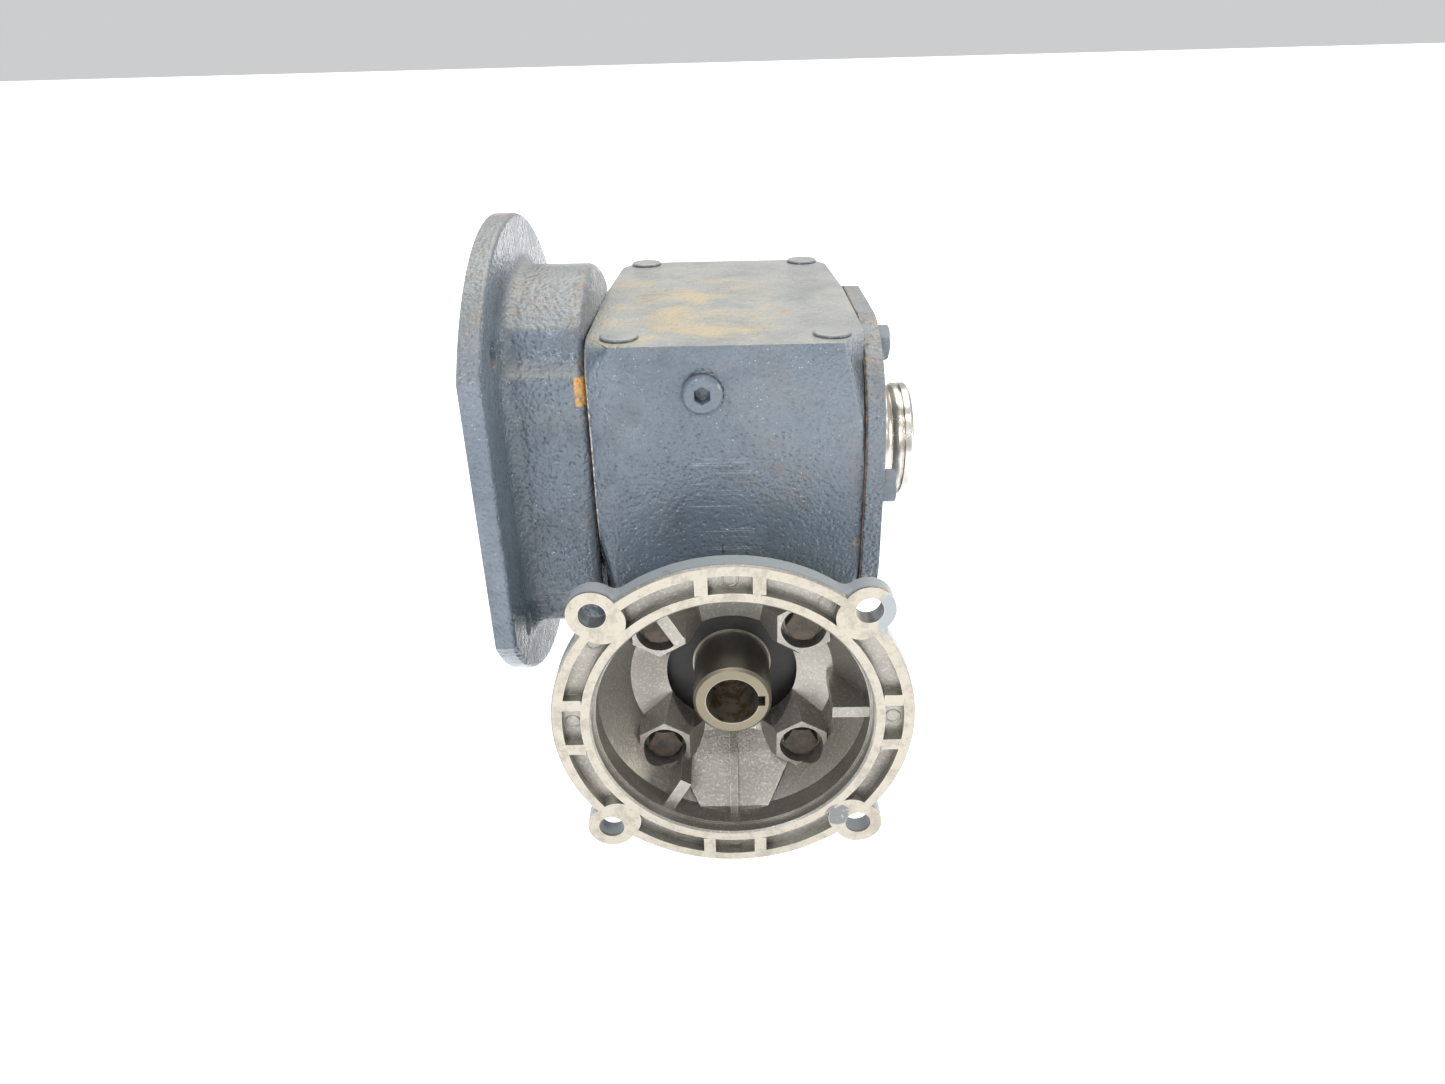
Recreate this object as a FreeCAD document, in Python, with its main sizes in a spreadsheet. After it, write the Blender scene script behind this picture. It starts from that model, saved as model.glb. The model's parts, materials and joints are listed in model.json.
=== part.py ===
import FreeCAD, Part
import math
import os
import re
import Sketcher

# Right-angle spur-and-worm gear reducer with a C-face motor adapter and a hollow output shaft.
# Millimetres. The origin is on the output axis, in the plane of the input and worm axes.
# +X is the free end of the output shaft, -X its mounting flange, -Y the motor side, +Z up.

SIZES = {
    # gear case
    "case_half": 54, "case_top": 60, "case_depth": 150, "case_front": 57, "case_back": 105,
    "front_half": 44.3, "front_corner": 40, "back_corner": 38, "rear_half": 51.5,
    "rear_corner": 93, "back_half": 45, "side_wall": 14, "roof": 9, "front_wall": 10,
    "rear_wall": 12, "window_half": 33, "case_round": 2.5,
    "input_drop": 85, "worm_drop": 56.5, "case_bore": 46, "web_half": 36, "neck_half": 18,
    "web_top": 38.5, "web_crown_half": 12, "web_shoulder": 70, "front_web": 26, "rear_web": 38,
    "shaft_room": 12,
    "pad_back": 60, "pad_foot": 62, "pad_inner_round": 2,
    "right_pad_front": 56.5, "right_front_top": 48, "right_back_top": 20, "right_back_foot": 50,
    "right_front_foot": 30,
    "left_pad_front": 53.5, "left_front_top": 14, "left_back_top": 20, "left_back_foot": 50,
    "left_front_foot": 52,
    # plugs in the case
    "plug_x": 41, "plug_front_y": 44, "plug_back_x": 40, "plug_back_y": 99, "plug_disc": 7.5,
    "plug_disc_rise": 1.4, "plug_edge": 0.6, "plug_stem": 5.1, "plug_stem_drop": 6, "plug_hole": 5.25,
    "plug_hole_drop": 7,
    "oil_plug_x": 9.3, "oil_plug_z": 41.7, "oil_plug_flange": 8, "oil_plug_rise": 3,
    "oil_plug_thread": 5.9, "oil_plug_hole": 6, "oil_plug_socket": 3.4, "oil_plug_washer": 0.8,
    "oil_plug_edge": 1.2, "oil_plug_stem": 9, "oil_plug_socket_deep": 5,
    "drain_z": 120,
    # bearing cover and its bolts
    "cover_round": 60, "cover_front": 58.5, "cover_front_top": 50, "cover_back_top": 22,
    "cover_front_foot": 30, "cover_back_foot": 52, "cover_reach": 62, "gasket": 0.5,
    "spigot": 45.95, "spigot_start": 38, "seal_bore": 32.5, "bolt_circle": 51.5,
    "bolt_hole": 4.5, "bolt_shank": 3.9, "tapped_hole": 4, "bolt_head": 7.5, "bolt_head_rise": 5.3,
    "bolt_length": 18,
    # output flange
    "flange_radius": 100, "flange_face": 95, "flange_thick": 8.5, "flange_flat": 83.5,
    "flange_bolt": 58.336, "flange_hole": 5.5, "pilot_radius": 65, "pilot_rise": 3.5,
    "drum_radius": 79, "drum_flat": 53.5, "drum_corner": 5, "drum_round": 4, "drum_root": 6,
    "plate_round": 2, "drum_start": 54.5, "drum_floor": 10,
    "scallop": 12, "hollow": 47.5, "flange_bolt_circle": 51.2,
    "socket_head": 6.5, "socket_rise": 8, "socket_length": 22, "socket_hex": 3.4, "socket_deep": 4,
    # output shaft
    "shaft_half": 80, "shaft_radius": 25, "bore_radius": 17.5, "shaft_key_half": 5,
    "shaft_key_reach": 20.8, "ring_groove": 1.2, "ring_groove_at": 75, "turned_groove_at": 71,
    "turned_groove_half": 2.5, "turned_groove_drop": 1.5, "end_chamfer": 1.2,
    "seat": 25.02, "spacer_outer": 30, "hub_half": 12, "hub_outer": 34, "rim_bore": 34.02,
    "rim_half": 10, "wheel_key_half": 6, "wheel_key_floor": 22.4, "wheel_key_top": 28.4,
    "wheel_key_length": 18,
    # bearings
    "big_inner": 30.2, "big_outer_in": 34.8, "big_outer": 39.98, "big_seat": 40, "big_width": 16,
    "big_pitch": 32.5, "big_ball": 4.3,
    "front_bore": 17.52, "front_inner": 22.2, "front_outer_in": 26.3, "front_outer": 30.98,
    "front_seat": 31, "front_width": 9, "front_pitch": 24.25, "front_ball": 3.9, "front_at": 47,
    "small_bore": 6.02, "small_inner": 8.6, "small_outer_in": 11.4, "small_outer": 13.98,
    "small_seat": 14, "small_width": 8, "small_pitch": 10, "small_ball": 2.3, "worm_bearing_at": 26.5,
    "rear_bearing_at": 71, "race_gap": 0.03,
    # seals
    "output_lip": 25.04, "output_seal": 32.48, "output_seal_width": 7.5, "seal_skin": 1.5,
    "input_lip": 17.54, "input_seal": 30.98, "input_seal_width": 4.7, "input_seal_at": 51.8,
    "input_seal_bore": 28.5,
    # motor adapter, measured from its face
    "face": 97, "rim_radius": 73.5, "rim_thick": 8.3, "ear_at": 52.76, "ear_radius": 10.2,
    "ear_hole": 5.4, "register": 57.15, "register_deep": 5, "bowl": 56, "bowl_deep": 15,
    "cone_end": 45, "cone_deep": 32, "floor_deep": 34, "hub_deep": 38.5, "adapter_neck": 62, "lip_outer": 69,
    "lip_inner": 61.5, "lip_pocket": 4.5, "land_rib": 5, "land_rib_at": 11, "boss_at": 30,
    "boss_radius": 9.5, "boss_deep": 31.3, "inner_rib": 5, "inner_rib_deep": 7.5,
    "inner_rib_in": 41, "inner_rib_out": 56.5, "land_at": 49.5, "land_radius": 9.5, "hood": 12.6,
    "hood_deep": 24.5, "boss_root": 16.5, "boss_root_at": 26.5, "boss_mouth": 12,
    "spine_half": 1.6, "spine_rise": 2.6, "ear_blend": 5, "rim_edge": 0.8, "overlap": 1,
    "ramp_root": 32, "ramp_top": 30, "ramp_foot": 24, "ramp_base": 45.5, "ramp_tip": 15, "ramp_deep": 13,
    "adapter_foot": 50, "adapter_gasket": 44,
    # input shaft
    "quill_face": 81, "quill_nose": 16.5, "quill_shoulder": 52, "quill_seat": 17.5, "quill_end": 38,
    "motor_bore": 11.1125, "motor_bore_end": 41, "motor_key_half": 2.38, "motor_key_reach": 13.7,
    "input_shaft": 10, "input_neck": 40, "journal": 6, "input_end": 80, "nose_chamfer": 1.2,
    # spur pair
    "spur_module": 1.5, "pinion_teeth": 14, "gear_teeth": 24, "gear_start": 44, "gear_width": 16,
    "key_half": 2, "key_floor": 3.5, "key_top": 7.3, "key_length": 12, "snap_at": 60.6,
    "snap_width": 1, "snap_floor": 5.2, "snap_outer": 7.6,
    # worm and wheel
    "worm_module": 2.5, "worm_starts": 2, "worm_pitch_radius": 14, "worm_tip": 16.5,
    "worm_root": 10.9, "worm_core_half": 20, "worm_shoulder": 8, "wheel_teeth": 34,
    "backlash": 0.5, "worm_end": 62.5,
    # rear cover
    "rear_cover_half": 44, "rear_cover_top": 52, "rear_cover_foot": 142, "rear_cover_thick": 7.5,
    "rear_cover_round": 8, "rear_boss": 19, "rear_boss_end": 71, "rear_bolt_x": 39, "rear_bolt_top": 44,
    "rear_bolt_step": 59, "rear_hole": 3.3, "rear_tapped": 3, "rear_shank": 2.9, "rear_head": 5.77,
    "rear_head_rise": 4, "rear_length": 16, "rear_tapped_depth": 10,
}

document = FreeCAD.newDocument("gear_reducer")
sheet = document.addObject("Spreadsheet::Sheet", "dims")
for row, (word, number) in enumerate(SIZES.items(), 1):
    sheet.set(f"A{row}", word)
    sheet.set(f"B{row}", str(number))
    sheet.setAlias(f"B{row}", word)
document.recompute()

WORD = re.compile(r"[a-z][a-z_]*")
SUBPARTS = []


def bound(formula):
    """Write a formula's size words as references to the sheet's cells."""
    return WORD.sub(lambda word: "dims." + word.group(0), str(formula))


def size(word):
    """Read one driving dimension from the sheet."""
    return float(sheet.get(word))


def new_body(label, drop="0"):
    """Start a body whose own frame hangs the given distance below the output axis."""
    body = document.addObject("PartDesign::Body", label)
    body.Label = label
    body.setExpression("Placement.Base.z", bound(f"-({drop})"))
    SUBPARTS.append(body)
    return body


def new_sketch(body, role, offset="0"):
    """Attach a sketch to one of the body's origin planes, moved along the plane's normal."""
    sketch = body.newObject("Sketcher::SketchObject", "Sketch")
    plane = next(item for item in body.Origin.OriginFeatures if item.Role == role)
    sketch.AttachmentSupport = [(plane, "")]
    sketch.MapMode = "FlatFace"
    sketch.setExpression("AttachmentOffset.Base.z", bound(offset))
    return sketch


def place_point(sketch, geometry, point, start, across, up):
    """Hold a sketch point at formulas for its two coordinates."""
    for kind, value, formula in (("DistanceX", start[0], across), ("DistanceY", start[1], up)):
        number = sketch.addConstraint(Sketcher.Constraint(kind, -1, 1, geometry, point, value))
        sketch.setExpression(f"Constraints[{number}]", bound(formula))


def add_outline(sketch, points):
    """Draw a closed polygon through points that are given as formulas."""
    first = sketch.GeometryCount
    count = len(points)
    starts = [(math.cos(2 * math.pi * i / count), math.sin(2 * math.pi * i / count)) for i in range(count)]
    vectors = [FreeCAD.Vector(x, y, 0) for x, y in starts]
    sketch.addGeometry([Part.LineSegment(vectors[i], vectors[(i + 1) % count]) for i in range(count)])
    for i in range(count):
        sketch.addConstraint(Sketcher.Constraint("Coincident", first + i, 2, first + (i + 1) % count, 1))
    for i, (across, up) in enumerate(points):
        place_point(sketch, first + i, 1, starts[i], across, up)


def add_circle(sketch, across, up, radius):
    """Draw a circle whose centre and radius are formulas."""
    number = sketch.GeometryCount
    start = (3 * number + 1, 1)
    sketch.addGeometry(Part.Circle(FreeCAD.Vector(*start, 0), FreeCAD.Vector(0, 0, 1), 1))
    place_point(sketch, number, 3, start, across, up)
    hold = sketch.addConstraint(Sketcher.Constraint("Radius", number, 1))
    sketch.setExpression(f"Constraints[{hold}]", bound(radius))


def box_points(left, right, low, high):
    """Corners of a rectangle."""
    return [(left, low), (right, low), (right, high), (left, high)]


def finish_feature(body, feature, grows):
    """Recompute a feature and insist that it changed the solid the way it should."""
    before = body.Shape.Volume if not body.Shape.isNull() else 0
    document.recompute()
    change = body.Shape.Volume - before
    if (change > 0) != grows or abs(change) < 1e-3:
        raise RuntimeError(f"{body.Label}: {feature.Name} changed the volume by {change:.3f}")
    return feature


def pad(body, sketch, length):
    """Add material along the sketch's normal."""
    feature = body.newObject("PartDesign::Pad", "Pad")
    feature.Profile = sketch
    feature.setExpression("Length", bound(length))
    sketch.Visibility = False
    return finish_feature(body, feature, True)


def pocket(body, sketch, length, along_normal=False):
    """Cut material against the sketch's normal, or along it."""
    feature = body.newObject("PartDesign::Pocket", "Pocket")
    feature.Profile = sketch
    feature.Reversed = along_normal
    feature.setExpression("Length", bound(length))
    return finish_feature(body, feature, False)


def spin(body, sketch, axis, kind="PartDesign::Revolution"):
    """Turn a sketch round its own axis, adding material or grooving it away."""
    feature = body.newObject(kind, "Turned")
    feature.Profile = sketch
    feature.ReferenceAxis = (sketch, [axis])
    feature.Angle = 360
    return finish_feature(body, feature, kind == "PartDesign::Revolution")


def loft(body, first, second):
    """Add material between two sketches with straight sides."""
    feature = body.newObject("PartDesign::AdditiveLoft", "Loft")
    feature.Profile = first
    feature.Sections = [second]
    feature.Ruled = True
    return finish_feature(body, feature, True)


def dress(body, kind, chosen, amount):
    """Fillet or chamfer the edges that the test picks."""
    base = body.Tip
    names = [f"Edge{i}" for i, edge in enumerate(base.Shape.Edges, 1) if chosen(edge)]
    feature = body.newObject("PartDesign::" + kind, kind)
    feature.Base = (base, names)
    feature.setExpression("Radius" if kind == "Fillet" else "Size", bound(amount))
    document.recompute()
    return feature


AXES = {"x": ("XY_Plane", "H_Axis"), "y": ("XY_Plane", "V_Axis"), "z": ("XZ_Plane", "V_Axis")}


def turned_points(along, points):
    """Order (station, radius) pairs the way the sketch of that axis wants them."""
    return points if along == "x" else [(radius, station) for station, radius in points]


def turned(label, along, points, drop="0"):
    """Make a body by turning an outline of (station, radius) pairs round an axis."""
    body = new_body(label, drop)
    role, axis = AXES[along]
    sketch = new_sketch(body, role)
    add_outline(sketch, turned_points(along, points))
    spin(body, sketch, axis)
    return body


def tube(start, end, inner, outer):
    """Outline of a plain ring."""
    return [(start, inner), (end, inner), (end, outer), (start, outer)]


def shape_part(label, shape):
    """Keep a shape that has no sketch form, such as a set of separate solids, as one sub-part."""
    item = document.addObject("Part::Feature", label)
    item.Label = label
    item.Shape = shape
    SUBPARTS.append(item)
    return item


def copies(label, shape, places):
    """Make one sub-part of separate copies of a shape."""
    solids = []
    for place in places:
        copy = shape.copy()
        copy.Placement = place.multiply(copy.Placement)
        solids.append(copy)
    return shape_part(label, Part.makeCompound(solids))


def at(x, y, z, axis=(0, 0, 1), angle=0):
    """A placement with a turn about an axis."""
    return FreeCAD.Placement(FreeCAD.Vector(x, y, z), FreeCAD.Rotation(FreeCAD.Vector(*axis), angle))


def polar(radius, degrees):
    """Two coordinates on a circle."""
    return radius * math.cos(math.radians(degrees)), radius * math.sin(math.radians(degrees))


# ---------------------------------------------------------------- gear case

COVER_OUTLINE = box_points("-cover_front", "cover_round", "-cover_round", "case_top")
COVER_BOLT_ANGLES = [181 - 72 * i for i in range(5)]
CORNER_CHORDS = 8
FLANGE_BOLT_ANGLES = (60, 90, 120, 240, 270, 300)


def round_cover_corners(body):
    """Give the four corners of the cover outline their own radii."""
    corners = (
        ("cover_front_top", -1, 1), ("cover_back_top", 1, 1),
        ("cover_front_foot", -1, -1), ("cover_back_foot", 1, -1),
    )
    for word, along_y, along_z in corners:
        def chosen(edge):
            middle = edge.CenterOfMass
            straight = len(edge.Vertexes) == 2 and abs(edge.tangentAt(edge.FirstParameter).x) > 0.999
            corner = abs(middle.y) > size("cover_front") - 1 and abs(middle.z) > size("cover_round") - 1
            return straight and corner and middle.y * along_y > 0 and middle.z * along_z > 0
        dress(body, "Fillet", chosen, word)


def polar_formulas(radius, degrees):
    """Formulas of a point on a circle whose radius is a size word."""
    across, up = polar(1, degrees)
    return f"{radius} * {across:.6f}", f"{radius} * {up:.6f}"


def rounded_box(front, radii):
    """Outline of a side seat: a box with four corner radii, each a run of short chords."""
    starts = (("-{0} + {1}", "case_top - {1}", 180), ("pad_back - {1}", "case_top - {1}", 90),
              ("pad_back - {1}", "{1} - pad_foot", 0), ("-{0} + {1}", "{1} - pad_foot", -90))
    points = []
    for (across, up, angle), radius in zip(starts, radii):
        for chord in range(CORNER_CHORDS + 1):
            cosine, sine = polar(1, angle - 90 * chord / CORNER_CHORDS)
            points.append((f"{across.format(front, radius)} + {cosine:.6f} * {radius}",
                           f"{up.format(front, radius)} + {sine:.6f} * {radius}"))
    return points


def drill(body, role, offset, spots, radius, length, along_normal=False):
    """Cut round holes at the given spots."""
    sketch = new_sketch(body, role, offset)
    for across, up in spots:
        add_circle(sketch, across, up, radius)
    pocket(body, sketch, length, along_normal)


def rear_bolt_spots():
    """Formulas of the rear cover's eight bolts, in two upright rows."""
    heights = [f"rear_bolt_top - {i} * rear_bolt_step" for i in range(4)]
    return [(f"{a} * rear_bolt_x", height) for a in (1, -1) for height in heights]


def behind_the_front(edge):
    """Test for the case's upright edges, leaving out the two beside the front face."""
    upright = abs(edge.tangentAt(edge.FirstParameter).z) > 0.999
    return upright and edge.CenterOfMass.y > -size("front_corner") - 1


def side_seats(body):
    """Pad the machined side seats, which reach further forward than the corners and blend into them."""
    for side, name in (("", "right"), ("-", "left")):
        inner = new_sketch(body, "YZ_Plane", f"{side}front_half")
        add_outline(inner, rounded_box("case_front", ["pad_inner_round"] * 4))
        outer = new_sketch(body, "YZ_Plane", f"{side}case_half")
        corners = ("front_top", "back_top", "back_foot", "front_foot")
        add_outline(outer, rounded_box(f"{name}_pad_front", [f"{name}_{corner}" for corner in corners]))
        loft(body, inner, outer)


def bearing_webs(body):
    """Two webs carry the worm's bearings; the front one is solid with the front wall."""
    spans = (("front_web", "case_front - front_web - 1"), ("-rear_web", "rear_web - front_web"))
    for start, length in spans:
        web = new_sketch(body, "XZ_Plane", start)
        add_outline(web, [
            ("-web_half", "-(case_depth - roof + 1)"), ("web_half", "-(case_depth - roof + 1)"),
            ("web_half", "-web_shoulder"), ("neck_half", "-worm_drop"), ("web_crown_half", "-web_top"),
            ("-web_crown_half", "-web_top"), ("-neck_half", "-worm_drop"), ("-web_half", "-web_shoulder"),
        ])
        pad(body, web, length)


def gear_case():
    """Box casting: chamfered corners, side bores for the output shaft, webs for the worm, tapped holes."""
    body = new_body("gear_case")
    sketch = new_sketch(body, "XY_Plane", "-case_depth")
    side = [
        ("front_half", "-case_front"), ("case_half", "-front_corner"), ("case_half", "back_corner"),
        ("rear_half", "rear_corner"), ("back_half", "case_back"),
    ]
    mirror = [("-" + across, up) for across, up in reversed(side)]
    add_outline(sketch, side + mirror)
    pad(body, sketch, "case_depth + case_top")
    dress(body, "Fillet", behind_the_front, "case_round")

    side_seats(body)
    room = new_sketch(body, "XZ_Plane", "-rear_corner")
    inner = "(case_half - side_wall)"
    add_outline(room, box_points("-" + inner, inner, "-(case_depth - roof)", "case_top - roof"))
    pocket(body, room, "rear_corner + case_front - front_wall", True)
    window = new_sketch(body, "XZ_Plane", "-case_back")
    add_outline(window, box_points("-window_half", "window_half", "-(case_depth - 2 * roof)",
                                   "case_top - 2 * roof"))
    pocket(body, window, "rear_wall", True)
    drill(body, "YZ_Plane", "-case_half - 1", [("0", "0")], "case_bore", "2 * case_half + 2", True)

    bearing_webs(body)
    drill(body, "XZ_Plane", "case_front", [("0", "-input_drop")], "front_seat", "case_front - quill_end")
    drill(body, "XZ_Plane", "quill_end", [("0", "-input_drop")], "shaft_room", "quill_end + rear_web")
    drill(body, "XZ_Plane", "front_web", [("0", "-worm_drop")], "small_seat", "small_width + 1", True)
    drill(body, "XZ_Plane", "-front_web", [("0", "-worm_drop")], "small_seat", "rear_web - front_web")

    top_spots = [("plug_x", "-plug_front_y"), ("-plug_x", "-plug_front_y"),
                 ("plug_back_x", "plug_back_y"), ("-plug_back_x", "plug_back_y")]
    drill(body, "XY_Plane", "case_top", top_spots, "plug_hole", "plug_hole_drop")
    drill(body, "XZ_Plane", "case_front", [("-oil_plug_x", "oil_plug_z")], "oil_plug_hole", "front_wall + 1")
    adapter_spots = [(f"{a} * boss_at", f"-input_drop + {b} * boss_at") for a in (1, -1) for b in (1, -1)]
    drill(body, "XZ_Plane", "case_front", adapter_spots, "tapped_hole", "front_wall - 1")
    cover_spots = [polar_formulas("bolt_circle", angle) for angle in COVER_BOLT_ANGLES]
    drill(body, "YZ_Plane", "case_half", cover_spots, "tapped_hole", "side_wall - 1")
    flange_spots = [polar_formulas("flange_bolt_circle", angle) for angle in FLANGE_BOLT_ANGLES]
    drill(body, "YZ_Plane", "-case_half", flange_spots, "tapped_hole", "side_wall - 1", True)
    drill(body, "XZ_Plane", "-case_back", rear_bolt_spots(), "rear_tapped", "rear_tapped_depth", True)
    return body


def foot_hole_plugs():
    """Four round plugs pressed into the unused foot holes of the top."""
    source = turned("top_plug_source", "z", [
        ("case_top - plug_stem_drop", "0"), ("case_top + plug_disc_rise", "0"),
        ("case_top + plug_disc_rise", "plug_disc - plug_edge"),
        ("case_top + plug_disc_rise - plug_edge", "plug_disc"),
        ("case_top", "plug_disc"), ("case_top", "plug_stem"), ("case_top - plug_stem_drop", "plug_stem"),
    ])
    SUBPARTS.remove(source)
    places = [at(side * size("plug_x"), -size("plug_front_y"), 0) for side in (1, -1)]
    places += [at(side * size("plug_back_x"), size("plug_back_y"), 0) for side in (1, -1)]
    copies("foot_hole_plugs", source.Shape, places)


def oil_plug(label, start, place):
    """Flanged plug with a hexagon socket and its sealing washer, seated at a station along -Y."""
    washer = f"-({start})"
    seat = f"-({start} + oil_plug_washer)"
    head = f"-({start} + oil_plug_washer + oil_plug_rise)"
    stem = f"-({start} - oil_plug_stem)"
    plug = turned("plug_source", "y", [
        (stem, "0"), (head, "0"), (head, "oil_plug_flange - oil_plug_edge"),
        (f"{head} + oil_plug_edge", "oil_plug_flange"), (seat, "oil_plug_flange"),
        (seat, "oil_plug_thread"), (stem, "oil_plug_thread"),
    ])
    socket = new_sketch(plug, "XZ_Plane", f"{start} + oil_plug_washer + oil_plug_rise")
    add_outline(socket, [polar_formulas("oil_plug_socket", 60 * i + 30) for i in range(6)])
    pocket(plug, socket, "oil_plug_socket_deep")
    SUBPARTS.remove(plug)
    copies(label, plug.Shape, [place])
    ring = turned("washer_source", "y", tube(washer, seat, "oil_plug_hole", "oil_plug_flange"))
    SUBPARTS.remove(ring)
    copies(label + "_washer", ring.Shape, [place])


# ---------------------------------------------------------------- bearing cover side

def cover_plate(body, start, length):
    """Pad the cover outline, with its unequal corner radii, along +X."""
    sketch = new_sketch(body, "YZ_Plane", start)
    add_outline(sketch, COVER_OUTLINE)
    pad(body, sketch, length)
    round_cover_corners(body)


def bearing_cover():
    """Cover at the free end, its neck that holds the bearing and the seal, and its gasket."""
    body = new_body("bearing_cover")
    cover_plate(body, "case_half + gasket", "cover_reach - case_half - gasket")
    ring = new_sketch(body, "YZ_Plane", "case_half + gasket")
    add_circle(ring, "0", "0", "spigot")
    neck = pad(body, ring, "case_half + gasket - spigot_start")
    neck.Reversed = True
    document.recompute()
    drill(body, "YZ_Plane", "cover_reach", [("0", "0")], "seal_bore", "cover_reach - spigot_start")
    drill(body, "YZ_Plane", "spigot_start", [("0", "0")], "big_seat", "big_width", True)
    spots = [polar_formulas("bolt_circle", angle) for angle in COVER_BOLT_ANGLES]
    drill(body, "YZ_Plane", "cover_reach", spots, "bolt_hole", "cover_reach - case_half")

    gasket = new_body("cover_gasket")
    cover_plate(gasket, "case_half", "gasket")
    drill(gasket, "YZ_Plane", "case_half", [("0", "0")], "case_bore", "gasket", True)
    drill(gasket, "YZ_Plane", "case_half", spots, "bolt_hole", "gasket", True)


def hex_bolt(head, head_rise, shank, length):
    """A hexagon bolt along +Z, its bearing face at the origin and its top corners chamfered by a cone."""
    corners = [FreeCAD.Vector(*polar(head, 60 * i), 0) for i in range(7)]
    block = Part.Face(Part.makePolygon(corners)).extrude(FreeCAD.Vector(0, 0, head_rise))
    flat = head * math.cos(math.radians(30))
    crown = Part.makeCone(head * 2, flat * 0.97, head_rise)
    stem = Part.makeCylinder(shank, length, FreeCAD.Vector(0, 0, -length))
    return block.common(crown).fuse(stem).removeSplitter()


def socket_screw():
    """A socket-head screw along +Z, its bearing face at the origin."""
    head = Part.makeCylinder(size("socket_head"), size("socket_rise"))
    top = size("socket_rise")
    floor = top - size("socket_deep")
    corners = [FreeCAD.Vector(*polar(size("socket_hex"), 60 * i), floor) for i in range(7)]
    socket = Part.Face(Part.makePolygon(corners)).extrude(FreeCAD.Vector(0, 0, size("socket_deep")))
    length = size("socket_length")
    stem = Part.makeCylinder(size("bolt_shank"), length, FreeCAD.Vector(0, 0, -length))
    return head.cut(socket).fuse(stem).removeSplitter()


def fasteners():
    """The four sets of bolts and screws, each set one sub-part."""
    bolt = hex_bolt(size("bolt_head"), size("bolt_head_rise"), size("bolt_shank"), size("bolt_length"))
    places = []
    for angle in COVER_BOLT_ANGLES:
        y, z = polar(size("bolt_circle"), angle)
        places.append(at(size("cover_reach"), y, z, (0, 1, 0), 90))
    copies("cover_bolts", bolt, places)

    boss = size("boss_at")
    seat = -(size("face") - size("boss_deep"))
    short = hex_bolt(size("bolt_head"), size("bolt_head_rise"), size("bolt_shank"),
                     -seat - size("case_front") + size("front_wall") - 2)
    places = [at(a * boss, seat, b * boss - size("input_drop"), (1, 0, 0), 90)
              for a in (1, -1) for b in (1, -1)]
    copies("adapter_bolts", short, places)

    floor = -(size("drum_start") + size("drum_floor"))
    places = []
    for angle in FLANGE_BOLT_ANGLES:
        y, z = polar(size("flange_bolt_circle"), angle)
        places.append(at(floor, y, z, (0, 1, 0), -90))
    copies("output_flange_screws", socket_screw(), places)

    small = hex_bolt(size("rear_head"), size("rear_head_rise"), size("rear_shank"), size("rear_length"))
    outer = size("case_back") + size("gasket") + size("rear_cover_thick")
    places = [at(a * size("rear_bolt_x"), outer, size("rear_bolt_top") - i * size("rear_bolt_step"),
                 (1, 0, 0), -90) for a in (1, -1) for i in range(4)]
    copies("rear_cover_bolts", small, places)


# ---------------------------------------------------------------- output flange

def edges_at(station, radius, inside):
    """Test for flat edges at a station along X, wholly inside or wholly outside a radius."""
    def chosen(edge):
        flat = edge.BoundBox.XLength < 1e-3 and abs(edge.CenterOfMass.x - station) < 0.01
        reach = [math.hypot(point.y, point.z) for point in edge.discretize(5)]
        return flat and (max(reach) < radius if inside else max(reach) > radius)
    return chosen


def flange_drum(body, spots):
    """Drum behind the flange plate: flattened in front, scalloped for the plate's bolts, rounded."""
    plate_back = -size("flange_face") + size("flange_thick")
    front_cut = new_sketch(body, "YZ_Plane", "-flange_face + flange_thick")
    add_outline(front_cut, box_points("-flange_radius - 1", "-drum_flat", "-flange_radius - 1",
                                      "flange_radius + 1"))
    pocket(body, front_cut, "flange_face - flange_thick - drum_start", True)
    drill(body, "YZ_Plane", "-flange_face + flange_thick", spots, "scallop",
          "flange_face - flange_thick - drum_start", True)
    middle = (plate_back - size("drum_start")) / 2
    dress(body, "Fillet", lambda edge: abs(edge.CenterOfMass.x - middle) < 1, "drum_corner")
    dress(body, "Fillet", edges_at(-size("drum_start"), size("flange_radius"), True), "drum_round")


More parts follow.
